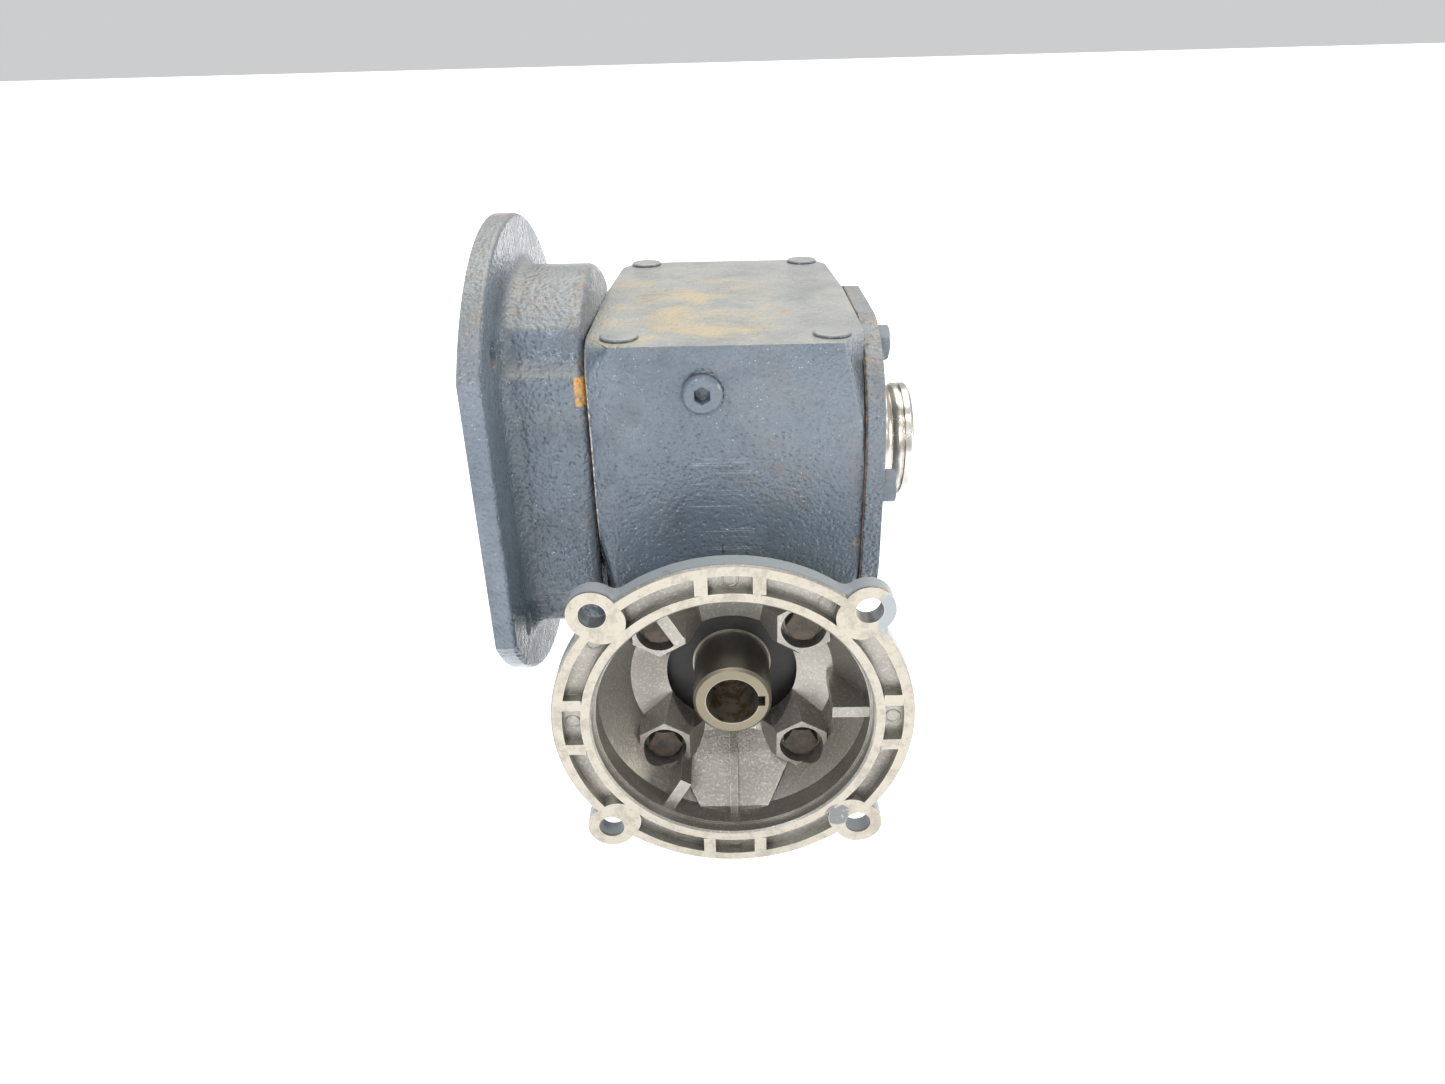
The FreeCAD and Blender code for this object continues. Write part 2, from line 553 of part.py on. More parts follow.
def output_flange():
    """Flange plate, drum, pilot and bearing spigot in one casting."""
    spots = [(f"{a} * flange_bolt", f"{b} * flange_bolt") for a in (1, -1) for b in (1, -1)]
    body = turned("output_flange", "x", [
        ("-flange_face + flange_thick", "0"), ("-flange_face + flange_thick", "drum_radius"),
        ("-drum_start", "drum_radius"), ("-drum_start", "0"),
    ])
    flange_drum(body, spots)
    disc = new_sketch(body, "YZ_Plane", "-flange_face")
    add_circle(disc, "0", "0", "flange_radius")
    pad(body, disc, "flange_thick")
    plate_cut = new_sketch(body, "YZ_Plane", "-flange_face")
    add_outline(plate_cut, box_points("-flange_radius - 1", "-flange_flat", "-flange_radius - 1",
                                      "flange_radius + 1"))
    pocket(body, plate_cut, "flange_thick", True)
    plate_back = -size("flange_face") + size("flange_thick")
    dress(body, "Fillet", edges_at(plate_back, size("drum_radius") + 2, True), "drum_root")
    dress(body, "Fillet", edges_at(plate_back, size("drum_radius") + 4, False), "plate_round")
    drill(body, "YZ_Plane", "-flange_face", spots, "flange_hole", "flange_thick + 6", True)

    pilot = new_sketch(body, "YZ_Plane", "-flange_face - pilot_rise")
    add_circle(pilot, "0", "0", "pilot_radius")
    pad(body, pilot, "pilot_rise")
    spigot = new_sketch(body, "YZ_Plane", "-drum_start")
    add_circle(spigot, "0", "0", "spigot")
    pad(body, spigot, "drum_start - spigot_start")

    floor = "(drum_start + drum_floor)"
    depth = f"flange_face + pilot_rise - {floor}"
    bolts = [polar_formulas("flange_bolt_circle", angle) for angle in FLANGE_BOLT_ANGLES]
    drill(body, "YZ_Plane", "-flange_face - pilot_rise", [("0", "0")], "hollow", depth, True)
    for spot in bolts:
        drill(body, "YZ_Plane", "-flange_face - pilot_rise", [spot], "socket_head + 0.4", depth, True)
    drill(body, "YZ_Plane", f"-{floor}", bolts, "bolt_hole", "drum_floor", True)
    seal_room = "drum_floor + drum_start - spigot_start"
    drill(body, "YZ_Plane", f"-{floor}", [("0", "0")], "seal_bore", seal_room, True)
    drill(body, "YZ_Plane", "-spigot_start", [("0", "0")], "big_seat", "big_width")


# ---------------------------------------------------------------- output shaft and worm wheel

def output_shaft():
    """Hollow keyed shaft, with the worm wheel's key, its hub and the two spacers."""
    groove = "turned_groove_at"
    ring = "ring_groove_at"
    body = turned("output_shaft", "x", [
        ("-shaft_half", "bore_radius"), ("shaft_half", "bore_radius"),
        ("shaft_half", "shaft_radius - end_chamfer"), ("shaft_half - end_chamfer", "shaft_radius"),
        (f"{ring} + ring_groove", "shaft_radius"), (f"{ring} + ring_groove", "shaft_radius - ring_groove"),
        (ring, "shaft_radius - ring_groove"), (ring, "shaft_radius"),
        (f"{groove} + turned_groove_half", "shaft_radius"), (groove, "shaft_radius - turned_groove_drop"),
        (f"{groove} - turned_groove_half", "shaft_radius"), ("-shaft_half + end_chamfer", "shaft_radius"),
        ("-shaft_half", "shaft_radius - end_chamfer"),
    ])
    bore_key = new_sketch(body, "YZ_Plane", "-shaft_half - 1")
    add_outline(bore_key, box_points("-shaft_key_half", "shaft_key_half", "0", "shaft_key_reach"))
    pocket(body, bore_key, "2 * shaft_half + 2", True)
    seat = new_sketch(body, "YZ_Plane", "-wheel_key_length / 2")
    add_outline(seat, box_points("-wheel_key_half", "wheel_key_half",
                                 "-shaft_radius - overlap", "-wheel_key_floor"))
    pocket(body, seat, "wheel_key_length", True)

    key = new_body("wheel_key")
    block = new_sketch(key, "YZ_Plane", "0.1 - wheel_key_length / 2")
    add_outline(block, box_points("0.02 - wheel_key_half", "wheel_key_half - 0.02", "-wheel_key_top",
                                  "-wheel_key_floor"))
    pad(key, block, "wheel_key_length - 0.2")

    hub = turned("wheel_hub", "x", tube("-hub_half", "hub_half", "seat", "hub_outer"))
    slot = new_sketch(hub, "YZ_Plane", "-hub_half - 1")
    add_outline(slot, box_points("-wheel_key_half", "wheel_key_half", "-wheel_key_top - 0.2", "-10"))
    pocket(hub, slot, "2 * hub_half + 2", True)

    turned("spacer_right", "x", tube("hub_half", "spigot_start", "seat", "spacer_outer"))
    turned("spacer_left", "x", tube("-spigot_start", "-hub_half", "seat", "spacer_outer"))


def gear_wire(teeth, module, thinning, turn, height=0):
    """Closed outline of an involute gear with stubbed teeth, a tooth centred on the turn angle."""
    pitch = module * teeth / 2
    base = pitch * math.cos(math.radians(20))
    tip = pitch + GEAR_ADDENDUM[module] * module
    root = pitch - 1.2 * module
    start = max(base, root)

    def involute(radius):
        pressure = math.acos(min(1, base / radius))
        return math.tan(pressure) - pressure

    def half_angle(radius):
        return (math.pi * module / 2 - thinning) / (2 * pitch) + involute(pitch) - involute(radius)

    def spot(radius, angle):
        return FreeCAD.Vector(radius * math.cos(angle), radius * math.sin(angle), height)

    edges = []
    step = 2 * math.pi / teeth
    for number in range(teeth):
        middle = math.radians(turn) + step * number
        flank = [start, (start + tip) / 2, tip]
        rise = [spot(radius, middle - half_angle(radius)) for radius in flank]
        fall = [spot(radius, middle + half_angle(radius)) for radius in reversed(flank)]
        foot = half_angle(start)
        first = spot(root, middle - foot)
        last = spot(root, middle + foot)
        after = spot(root, middle + step - foot)
        edges.append(Part.makeLine(first, rise[0]))
        edges.append(Part.Arc(*rise).toShape())
        edges.append(Part.Arc(rise[2], spot(tip, middle), fall[0]).toShape())
        edges.append(Part.Arc(*fall).toShape())
        edges.append(Part.makeLine(fall[2], last))
        edges.append(Part.Arc(last, spot(root, middle + step / 2), after).toShape())
    return Part.Wire(edges)


GEAR_ADDENDUM = {size("spur_module"): 0.8, size("worm_module"): 1.0}


def wheel_rim():
    """Bronze rim whose teeth lean with the worm's lead, as a ruled loft between its two sides."""
    teeth = int(size("wheel_teeth"))
    module = size("worm_module")
    half = size("rim_half")
    lean = math.degrees(half * size("worm_starts") * module / 2 / size("worm_pitch_radius")
                        / (teeth * module / 2))
    sections = [gear_wire(teeth, module, 0.0, -90 + side * lean, side * half) for side in (-1, 0, 1)]
    blank = Part.makeLoft(sections, True, True)
    bore = Part.makeCylinder(size("rim_bore"), 2 * half + 2, FreeCAD.Vector(0, 0, -half - 1))
    item = shape_part("worm_wheel_rim", blank.cut(bore))
    # the drawing's X, Y and Z become the object's Y, Z and X
    item.Placement = at(0, 0, 0, (1, 1, 1), 120)


def worm_thread(turn):
    """One start of the worm as a swept trapezoid, along local Z."""
    module = size("worm_module")
    lead = math.pi * module * size("worm_starts")
    half = (math.pi * module / 2 - size("backlash")) / 2
    slope = math.tan(math.radians(20))
    low = size("worm_root") - 0.4
    high = size("worm_tip")
    pitch = size("worm_pitch_radius")
    corners = [(low, -half - (pitch - low) * slope), (high, -half + (high - pitch) * slope),
               (high, half - (high - pitch) * slope), (low, half + (pitch - low) * slope)]
    points = [FreeCAD.Vector(radius, 0, station) for radius, station in corners]
    profile = Part.makePolygon(points + points[:1])
    path = Part.makeHelix(lead, 2 * lead, pitch)
    thread = Part.Wire(path.Edges).makePipeShell([profile], True, True)
    thread.Placement = FreeCAD.Placement(FreeCAD.Vector(0, 0, -lead),
                                         FreeCAD.Rotation(FreeCAD.Vector(0, 0, 1), turn))
    return thread


def worm_shaft():
    """Worm, journals and gear seat in one piece of steel."""
    core = turned("worm_core", "y", [
        ("-worm_bearing_at - small_width - 0.5", "0"), ("-worm_bearing_at - small_width - 0.5", "journal"),
        ("-worm_bearing_at", "journal"), ("-worm_bearing_at", "worm_shoulder"),
        ("-worm_core_half", "worm_shoulder"), ("-worm_core_half", "worm_root"),
        ("worm_core_half", "worm_root"), ("worm_core_half", "worm_shoulder"),
        ("worm_bearing_at", "worm_shoulder"), ("worm_bearing_at", "journal"),
        ("snap_at", "journal"), ("snap_at", "snap_floor"), ("snap_at + snap_width + 0.1", "snap_floor"),
        ("snap_at + snap_width + 0.1", "journal"), ("worm_end", "journal"), ("worm_end", "0"),
    ])
    cut_key_seat(core)
    SUBPARTS.remove(core)
    shape = core.Shape.copy()
    for turn in (0, 180):
        thread = worm_thread(turn)
        solid = Part.makeSolid(thread) if thread.ShapeType != "Solid" else thread
        solid.Placement = at(0, 0, 0, (1, 0, 0), -90).multiply(solid.Placement)
        shape = shape.fuse(solid)
    item = shape_part("worm_shaft", shape)
    item.Placement = at(0, 0, -size("worm_drop"))


def cut_key_seat(body):
    """Cut the seat of a small key under the gear on a shaft along Y."""
    seat = new_sketch(body, "XZ_Plane", "-gear_start - gear_width / 2 + key_length / 2")
    add_outline(seat, box_points("-key_half", "key_half", "key_floor", "journal + 1"))
    pocket(body, seat, "key_length")


def spur_gear(label, key_label, teeth_word, turn, drop_word):
    """A spur gear on a shaft along Y, with its key."""
    teeth = int(size(teeth_word))
    width = size("gear_width")
    wire = gear_wire(teeth, size("spur_module"), 0.15, turn)
    blank = Part.Face(wire).extrude(FreeCAD.Vector(0, 0, width))
    blank = blank.cut(Part.makeCylinder(size("small_bore"), width))
    half = size("key_half")
    slot = Part.makeBox(2 * half, size("key_top") + 0.2, width, FreeCAD.Vector(-half, 0, 0))
    gear = shape_part(label, blank.cut(slot))
    # drawing Y up becomes Z, the drawing's Z becomes -Y
    gear.Placement = FreeCAD.Placement(FreeCAD.Vector(0, size("gear_start") + width, -size(drop_word)),
                                       FreeCAD.Rotation(FreeCAD.Vector(1, 0, 0), 90))
    key = new_body(key_label, drop_word)
    block = new_sketch(key, "XZ_Plane", "-gear_start - gear_width / 2 + key_length / 2 - 0.05")
    add_outline(block, box_points("0.02 - key_half", "key_half - 0.02", "key_floor", "key_top"))
    solid = pad(key, block, "key_length - 0.1")
    solid.Reversed = True
    document.recompute()


def snap_ring(label, drop):
    """Open retaining ring behind a gear."""
    ring = tube("snap_at", "snap_at + snap_width", "snap_floor + 0.05", "snap_outer")
    body = turned(label, "y", ring, drop)
    gap = new_sketch(body, "XZ_Plane", "-snap_at + 1")
    add_outline(gap, box_points("-1.5", "1.5", "-snap_outer - 1", "0"))
    pocket(body, gap, "snap_width + 2")


# ---------------------------------------------------------------- input shaft

def input_shaft():
    """Quill bored and keyed for the motor shaft, stepped down to carry the pinion."""
    body = turned("input_quill_shaft", "y", [
        ("-quill_face", "0"), ("-quill_face", "quill_nose - nose_chamfer"),
        ("-quill_face + nose_chamfer", "quill_nose"), ("-quill_shoulder", "quill_nose"),
        ("-quill_shoulder", "quill_seat"), ("-quill_end", "quill_seat"), ("-quill_end", "input_shaft"),
        ("input_neck", "input_shaft"), ("input_neck", "journal"), ("snap_at", "journal"),
        ("snap_at", "snap_floor"), ("snap_at + snap_width + 0.1", "snap_floor"),
        ("snap_at + snap_width + 0.1", "journal"), ("input_end", "journal"), ("input_end", "0"),
    ], "input_drop")
    drill(body, "XZ_Plane", "quill_face", [("0", "0")], "motor_bore", "quill_face - motor_bore_end")
    slot = new_sketch(body, "XZ_Plane", "quill_face")
    add_outline(slot, box_points("0", "motor_key_reach", "-motor_key_half", "motor_key_half"))
    pocket(body, slot, "quill_face - motor_bore_end")
    cut_key_seat(body)


def seal(label, along, outside, inward, width, lip, outer, drop="0"):
    """Lip seal: a rubber-covered case open on its inner side, so its section is a U."""
    end = f"{outside} {inward} {width}"
    web = f"{outside} {inward} seal_skin"
    turned(label, along, [
        (outside, lip), (end, lip), (end, f"{lip} + seal_skin"), (web, f"{lip} + seal_skin"),
        (web, f"{outer} - seal_skin"), (end, f"{outer} - seal_skin"), (end, outer), (outside, outer),
    ], drop)


def bearing(name, along, start, words, drop="0", balls=8):
    """Deep-groove ball bearing as an inner ring, an outer ring and a set of balls."""
    bore, inner, outer_in, outer, width, pitch, ball = words
    end = f"{start} + {width}"
    centre = f"{start} + {width} / 2"
    for part, low, high in (("inner_ring", bore, inner), ("outer_ring", outer_in, outer)):
        ring = turned(f"{name}_{part}", along, tube(start, end, low, high), drop)
        role, axis = AXES[along]
        track = new_sketch(ring, role)
        across, up = turned_points(along, [(centre, pitch)])[0]
        add_circle(track, across, up, f"{ball} + race_gap")
        spin(ring, track, axis, "PartDesign::Groove")
    middle = ring.Shape.BoundBox.Center
    sphere = Part.makeSphere(size(ball))
    places = []
    for number in range(balls):
        first, second = polar(size(pitch), 360 * number / balls)
        spot = (middle.x, first, second) if along == "x" else (first, middle.y, middle.z + second)
        places.append(at(*spot))
    copies(f"{name}_balls", sphere, places)


BIG = ("seat", "big_inner", "big_outer_in", "big_outer", "big_width", "big_pitch", "big_ball")
FRONT = ("front_bore", "front_inner", "front_outer_in", "front_outer", "front_width", "front_pitch",
         "front_ball")
SMALL = ("small_bore", "small_inner", "small_outer_in", "small_outer", "small_width", "small_pitch",
         "small_ball")


# ---------------------------------------------------------------- motor adapter

def ear_corner(edge):
    """Test for the upright corners where an ear leaves the rim."""
    along_y = abs(edge.tangentAt(edge.FirstParameter).y) > 0.999
    off_rim = abs(math.hypot(edge.CenterOfMass.x, edge.CenterOfMass.z) - size("rim_radius"))
    return along_y and edge.BoundBox.YLength > size("rim_thick") - 2 * size("rim_edge") and off_rim < 0.3


def around(distance):
    """Formulas of the four points at plus and minus a distance on both axes."""
    return [(f"{a} * {distance}", f"{b} * {distance}") for a in (1, -1) for b in (1, -1)]


def hexagon(centre, radius):
    """Formulas of a hexagon that stands on a corner."""
    corners = [polar(1, 60 * i + 30) for i in range(6)]
    return [(f"{centre[0]} + {c:.6f} * {radius}", f"{centre[1]} + {v:.6f} * {radius}") for c, v in corners]


def rim_details(body):
    """Ears with lands beside them, and the short ribs that close off the rim's pockets."""
    pads = new_sketch(body, "XZ_Plane", "face - rim_thick")
    for across, up in around("ear_at"):
        add_circle(pads, across, up, "ear_radius")
    pad(body, pads, "rim_thick")
    lands = new_sketch(body, "XZ_Plane", "face - lip_pocket - overlap")
    for across, up in around("land_at"):
        add_circle(lands, across, up, "land_radius")
    pad(body, lands, "lip_pocket + overlap")
    near, far = "(lip_inner - overlap)", "(lip_outer + overlap)"
    for rib_side in (-1, 1):
        low, high = (f"{rib_side} * land_rib_at {step} land_rib / 2" for step in "-+")
        for rim_side in (-1, 1):
            reach = (f"{rim_side} * {near}", f"{rim_side} * {far}")
            for outline in (box_points(*reach, low, high), box_points(low, high, *reach)):
                rib = new_sketch(body, "XZ_Plane", "face - lip_pocket - overlap")
                add_outline(rib, outline)
                pad(body, rib, "lip_pocket + overlap")


def bolt_bosses(body):
    """Hooded bosses round the four bolts, leaning in to the hub and counterbored from the front."""
    for (across, up), (inner_across, inner_up) in zip(around("boss_at"), around("boss_root_at")):
        root = new_sketch(body, "XZ_Plane", "face - hub_deep")
        add_outline(root, hexagon((inner_across, inner_up), "boss_root"))
        crown = new_sketch(body, "XZ_Plane", "face - hood_deep")
        add_outline(crown, hexagon((across, up), "hood"))
        loft(body, root, crown)
        foot = new_sketch(body, "XZ_Plane", "case_front + gasket")
        add_outline(foot, hexagon((across, up), "hood"))
        pad(body, foot, "face - hood_deep - case_front - gasket")
    drill(body, "XZ_Plane", "face - boss_mouth", around("boss_at"), "boss_radius", "boss_deep - boss_mouth")
    through = "face - boss_deep - case_front"
    drill(body, "XZ_Plane", "face - boss_deep", around("boss_at"), "bolt_hole", through)


def bottom_ramp(body):
    """Ramp at the bottom of the bowl, wide at the floor and narrow at the rim."""
    root = new_sketch(body, "XZ_Plane", "face - hub_deep")
    add_outline(root, [("-ramp_root", "-ramp_top"), ("ramp_root", "-ramp_top"),
                       ("ramp_foot", "-ramp_base"), ("-ramp_foot", "-ramp_base")])
    lip = new_sketch(body, "XZ_Plane", "face - ramp_deep")
    add_outline(lip, [("-ramp_tip", "2 - bowl"), ("ramp_tip", "2 - bowl"),
                      ("ramp_tip", "-bowl"), ("-ramp_tip", "-bowl")])
    loft(body, root, lip)


def bowl_ribs(body):
    """Three stub ribs, one at each third of a turn, and a low spine down the middle of the ramp."""
    for angle in (0, 120, 240):
        rib = new_sketch(body, "XZ_Plane", "face - hub_deep")
        along = [("inner_rib_in", -1), ("inner_rib_out", -1), ("inner_rib_out", 1), ("inner_rib_in", 1)]
        cosine, sine = polar(1, angle)
        add_outline(rib, [(f"{word} * {cosine:.6f} - {side * sine:.6f} * inner_rib / 2",
                           f"{word} * {sine:.6f} + {side * cosine:.6f} * inner_rib / 2")
                          for word, side in along])
        pad(body, rib, "hub_deep - inner_rib_deep")

    spine = new_sketch(body, "YZ_Plane", "-spine_half")
    add_outline(spine, [
        ("-face + hub_deep", "-input_seal_bore - 0.5"), ("-face + hub_deep - spine_rise", "-ramp_top"),
        ("-face + ramp_deep - spine_rise", "2 - bowl + spine_rise"),
        ("-face + ramp_deep - spine_rise", "-bowl - overlap"), ("-face + hub_deep", "-ramp_base"),
    ])
    pad(body, spine, "2 * spine_half")


def motor_adapter():
    """C-face quill adapter: a ring with four ears, a conical bowl and a bolted floor, with its gasket."""
    body = turned("motor_adapter", "y", [
        ("-face + hub_deep", "input_seal_bore"), ("-face + floor_deep", "cone_end - 1"),
        ("-face + cone_deep", "cone_end"), ("-face + bowl_deep", "bowl"),
        ("-face + register_deep", "bowl"), ("-face + register_deep", "register"),
        ("-face + rim_edge", "register"), ("-face", "register + rim_edge"), ("-face", "lip_inner"),
        ("-face + lip_pocket", "lip_inner"), ("-face + lip_pocket", "lip_outer"), ("-face", "lip_outer"),
        ("-face", "rim_radius - rim_edge"), ("-face + rim_edge", "rim_radius"),
        ("-face + rim_thick", "rim_radius"), ("-face + rim_thick", "adapter_neck + 2"),
        ("-face + rim_thick + 3", "adapter_neck"), ("-case_front - gasket", "adapter_foot"),
        ("-case_front - gasket", "input_seal_bore"),
    ], "input_drop")
    rim_details(body)
    bottom_ramp(body)
    bolt_bosses(body)
    hub_room = "face - hood_deep - case_front - gasket"
    drill(body, "XZ_Plane", "face - hood_deep", [("0", "0")], "input_seal_bore", hub_room)
    drill(body, "XZ_Plane", "face", around("ear_at"), "ear_hole", "rim_thick")
    dress(body, "Fillet", ear_corner, "ear_blend")
    bowl_ribs(body)

    gasket = new_body("adapter_gasket", "input_drop")
    leaf = new_sketch(gasket, "XZ_Plane", "case_front")
    add_outline(leaf, box_points("-adapter_gasket", "adapter_gasket", "-adapter_gasket", "adapter_gasket"))
    pad(gasket, leaf, "gasket")
    drill(gasket, "XZ_Plane", "case_front + gasket", [("0", "0")], "front_seat", "gasket")
    drill(gasket, "XZ_Plane", "case_front + gasket", around("boss_at"), "bolt_hole", "gasket")


# ---------------------------------------------------------------- rear cover

def plate_corner(edge):
    """Test for the rear plate's four outer corners."""
    along_y = len(edge.Vertexes) == 2 and abs(edge.tangentAt(edge.FirstParameter).y) > 0.999
    return along_y and abs(edge.CenterOfMass.x) > size("rear_cover_half") - 0.5


def rear_cover():
    """Plate on the back, with the inner boss that holds the input shaft's rear bearing, and its gasket."""
    spots = rear_bolt_spots()
    outline = box_points("-rear_cover_half", "rear_cover_half", "-rear_cover_foot", "rear_cover_top")
    body = new_body("rear_cover")
    plate = new_sketch(body, "XZ_Plane", "-case_back - gasket - rear_cover_thick")
    add_outline(plate, outline)
    pad(body, plate, "rear_cover_thick")
    boss = new_sketch(body, "XZ_Plane", "-case_back - gasket - 1")
    add_circle(boss, "0", "-input_drop", "rear_boss")
    pad(body, boss, "case_back + gasket + 1 - rear_boss_end")
    drill(body, "XZ_Plane", "-rear_boss_end", [("0", "-input_drop")], "small_seat", "small_width + 2")
    drill(body, "XZ_Plane", "-case_back - gasket", spots, "rear_hole", "rear_cover_thick")
    drill(body, "XZ_Plane", "-case_back - gasket", [("0", "-drain_z")], "oil_plug_hole", "rear_cover_thick")
    dress(body, "Fillet", plate_corner, "rear_cover_round")

    gasket = new_body("rear_cover_gasket")
    sheet_sketch = new_sketch(gasket, "XZ_Plane", "-case_back - gasket")
    add_outline(sheet_sketch, outline)
    pad(gasket, sheet_sketch, "gasket")
    window = new_sketch(gasket, "XZ_Plane", "-case_back")
    add_outline(window, box_points("-window_half", "window_half", "-(case_depth - 2 * roof)",
                                   "case_top - 2 * roof"))
    pocket(gasket, window, "gasket")
    drill(gasket, "XZ_Plane", "-case_back", spots, "rear_hole", "gasket")
    dress(gasket, "Fillet", plate_corner, "rear_cover_round")


gear_case()
foot_hole_plugs()
oil_plug("oil_level_plug", "case_front", at(-size("oil_plug_x"), 0, size("oil_plug_z")))
oil_plug("drain_plug", "case_back + gasket + rear_cover_thick", at(0, 0, -size("drain_z"), (0, 0, 1), 180))
bearing_cover()
fasteners()
output_flange()
output_shaft()
wheel_rim()
worm_shaft()
spur_gear("worm_spur_gear", "worm_gear_key", "gear_teeth", 90, "worm_drop")
spur_gear("input_pinion", "pinion_key", "pinion_teeth", 90 + 180 / size("pinion_teeth"), "input_drop")
snap_ring("worm_snap_ring", "worm_drop")
snap_ring("input_snap_ring", "input_drop")
input_shaft()
seal("output_seal_right", "x", "cover_reach", "-", "output_seal_width", "output_lip", "output_seal")
seal("output_seal_left", "x", "-drum_start - drum_floor", "+", "output_seal_width",
     "output_lip", "output_seal")
seal("input_seal", "y", "-input_seal_at", "+", "input_seal_width", "input_lip", "input_seal", "input_drop")
bearing("output_bearing_right", "x", "spigot_start", BIG, balls=13)
bearing("output_bearing_left", "x", "-spigot_start - big_width", BIG, balls=13)
bearing("input_bearing_front", "y", "-front_at", FRONT, "input_drop", 11)
bearing("input_bearing_rear", "y", "rear_bearing_at", SMALL, "input_drop", 7)
bearing("worm_bearing_front", "y", "-worm_bearing_at - small_width", SMALL, "worm_drop", 7)
bearing("worm_bearing_rear", "y", "worm_bearing_at", SMALL, "worm_drop", 7)
motor_adapter()
rear_cover()
document.recompute()

for item in document.Objects:
    if "Invalid" in item.State or "Error" in item.State:
        raise RuntimeError(f"{item.Label} failed to recompute")
os.makedirs("parts", exist_ok=True)
for item in SUBPARTS:
    if item.Shape.isNull() or not item.Shape.isValid():
        raise RuntimeError(f"{item.Label} has no valid shape")
    item.Shape.exportStep(f"parts/{item.Label}.step")
print(len(SUBPARTS), "sub-parts")
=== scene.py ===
"""Looks of a right-angle gear reducer: worn blue-grey castings, die-cast adapter, bare steel shafts."""
import json
import math

import bmesh
import bpy
from mathutils import Matrix, Vector


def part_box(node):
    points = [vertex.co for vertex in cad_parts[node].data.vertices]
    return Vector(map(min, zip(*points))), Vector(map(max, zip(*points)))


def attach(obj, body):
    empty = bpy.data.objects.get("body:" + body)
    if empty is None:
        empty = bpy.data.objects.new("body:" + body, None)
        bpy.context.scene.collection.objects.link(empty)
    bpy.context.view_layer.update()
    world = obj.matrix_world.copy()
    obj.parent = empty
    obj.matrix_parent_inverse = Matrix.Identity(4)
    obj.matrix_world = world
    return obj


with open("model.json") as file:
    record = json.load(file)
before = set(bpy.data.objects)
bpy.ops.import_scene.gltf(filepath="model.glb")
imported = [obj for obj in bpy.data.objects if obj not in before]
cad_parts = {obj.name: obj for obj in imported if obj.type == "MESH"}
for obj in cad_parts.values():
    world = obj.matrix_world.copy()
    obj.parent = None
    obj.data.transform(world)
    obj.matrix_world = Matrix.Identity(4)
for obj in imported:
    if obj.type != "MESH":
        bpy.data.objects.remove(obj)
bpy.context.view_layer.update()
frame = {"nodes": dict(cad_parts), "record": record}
NODES = frame["nodes"]

MM = 0.001
INPUT_HEIGHT = -85
BEVEL_SAMPLES = 6
HOLLOW_SAMPLES = 8


# ---------------------------------------------------------------- node graphs

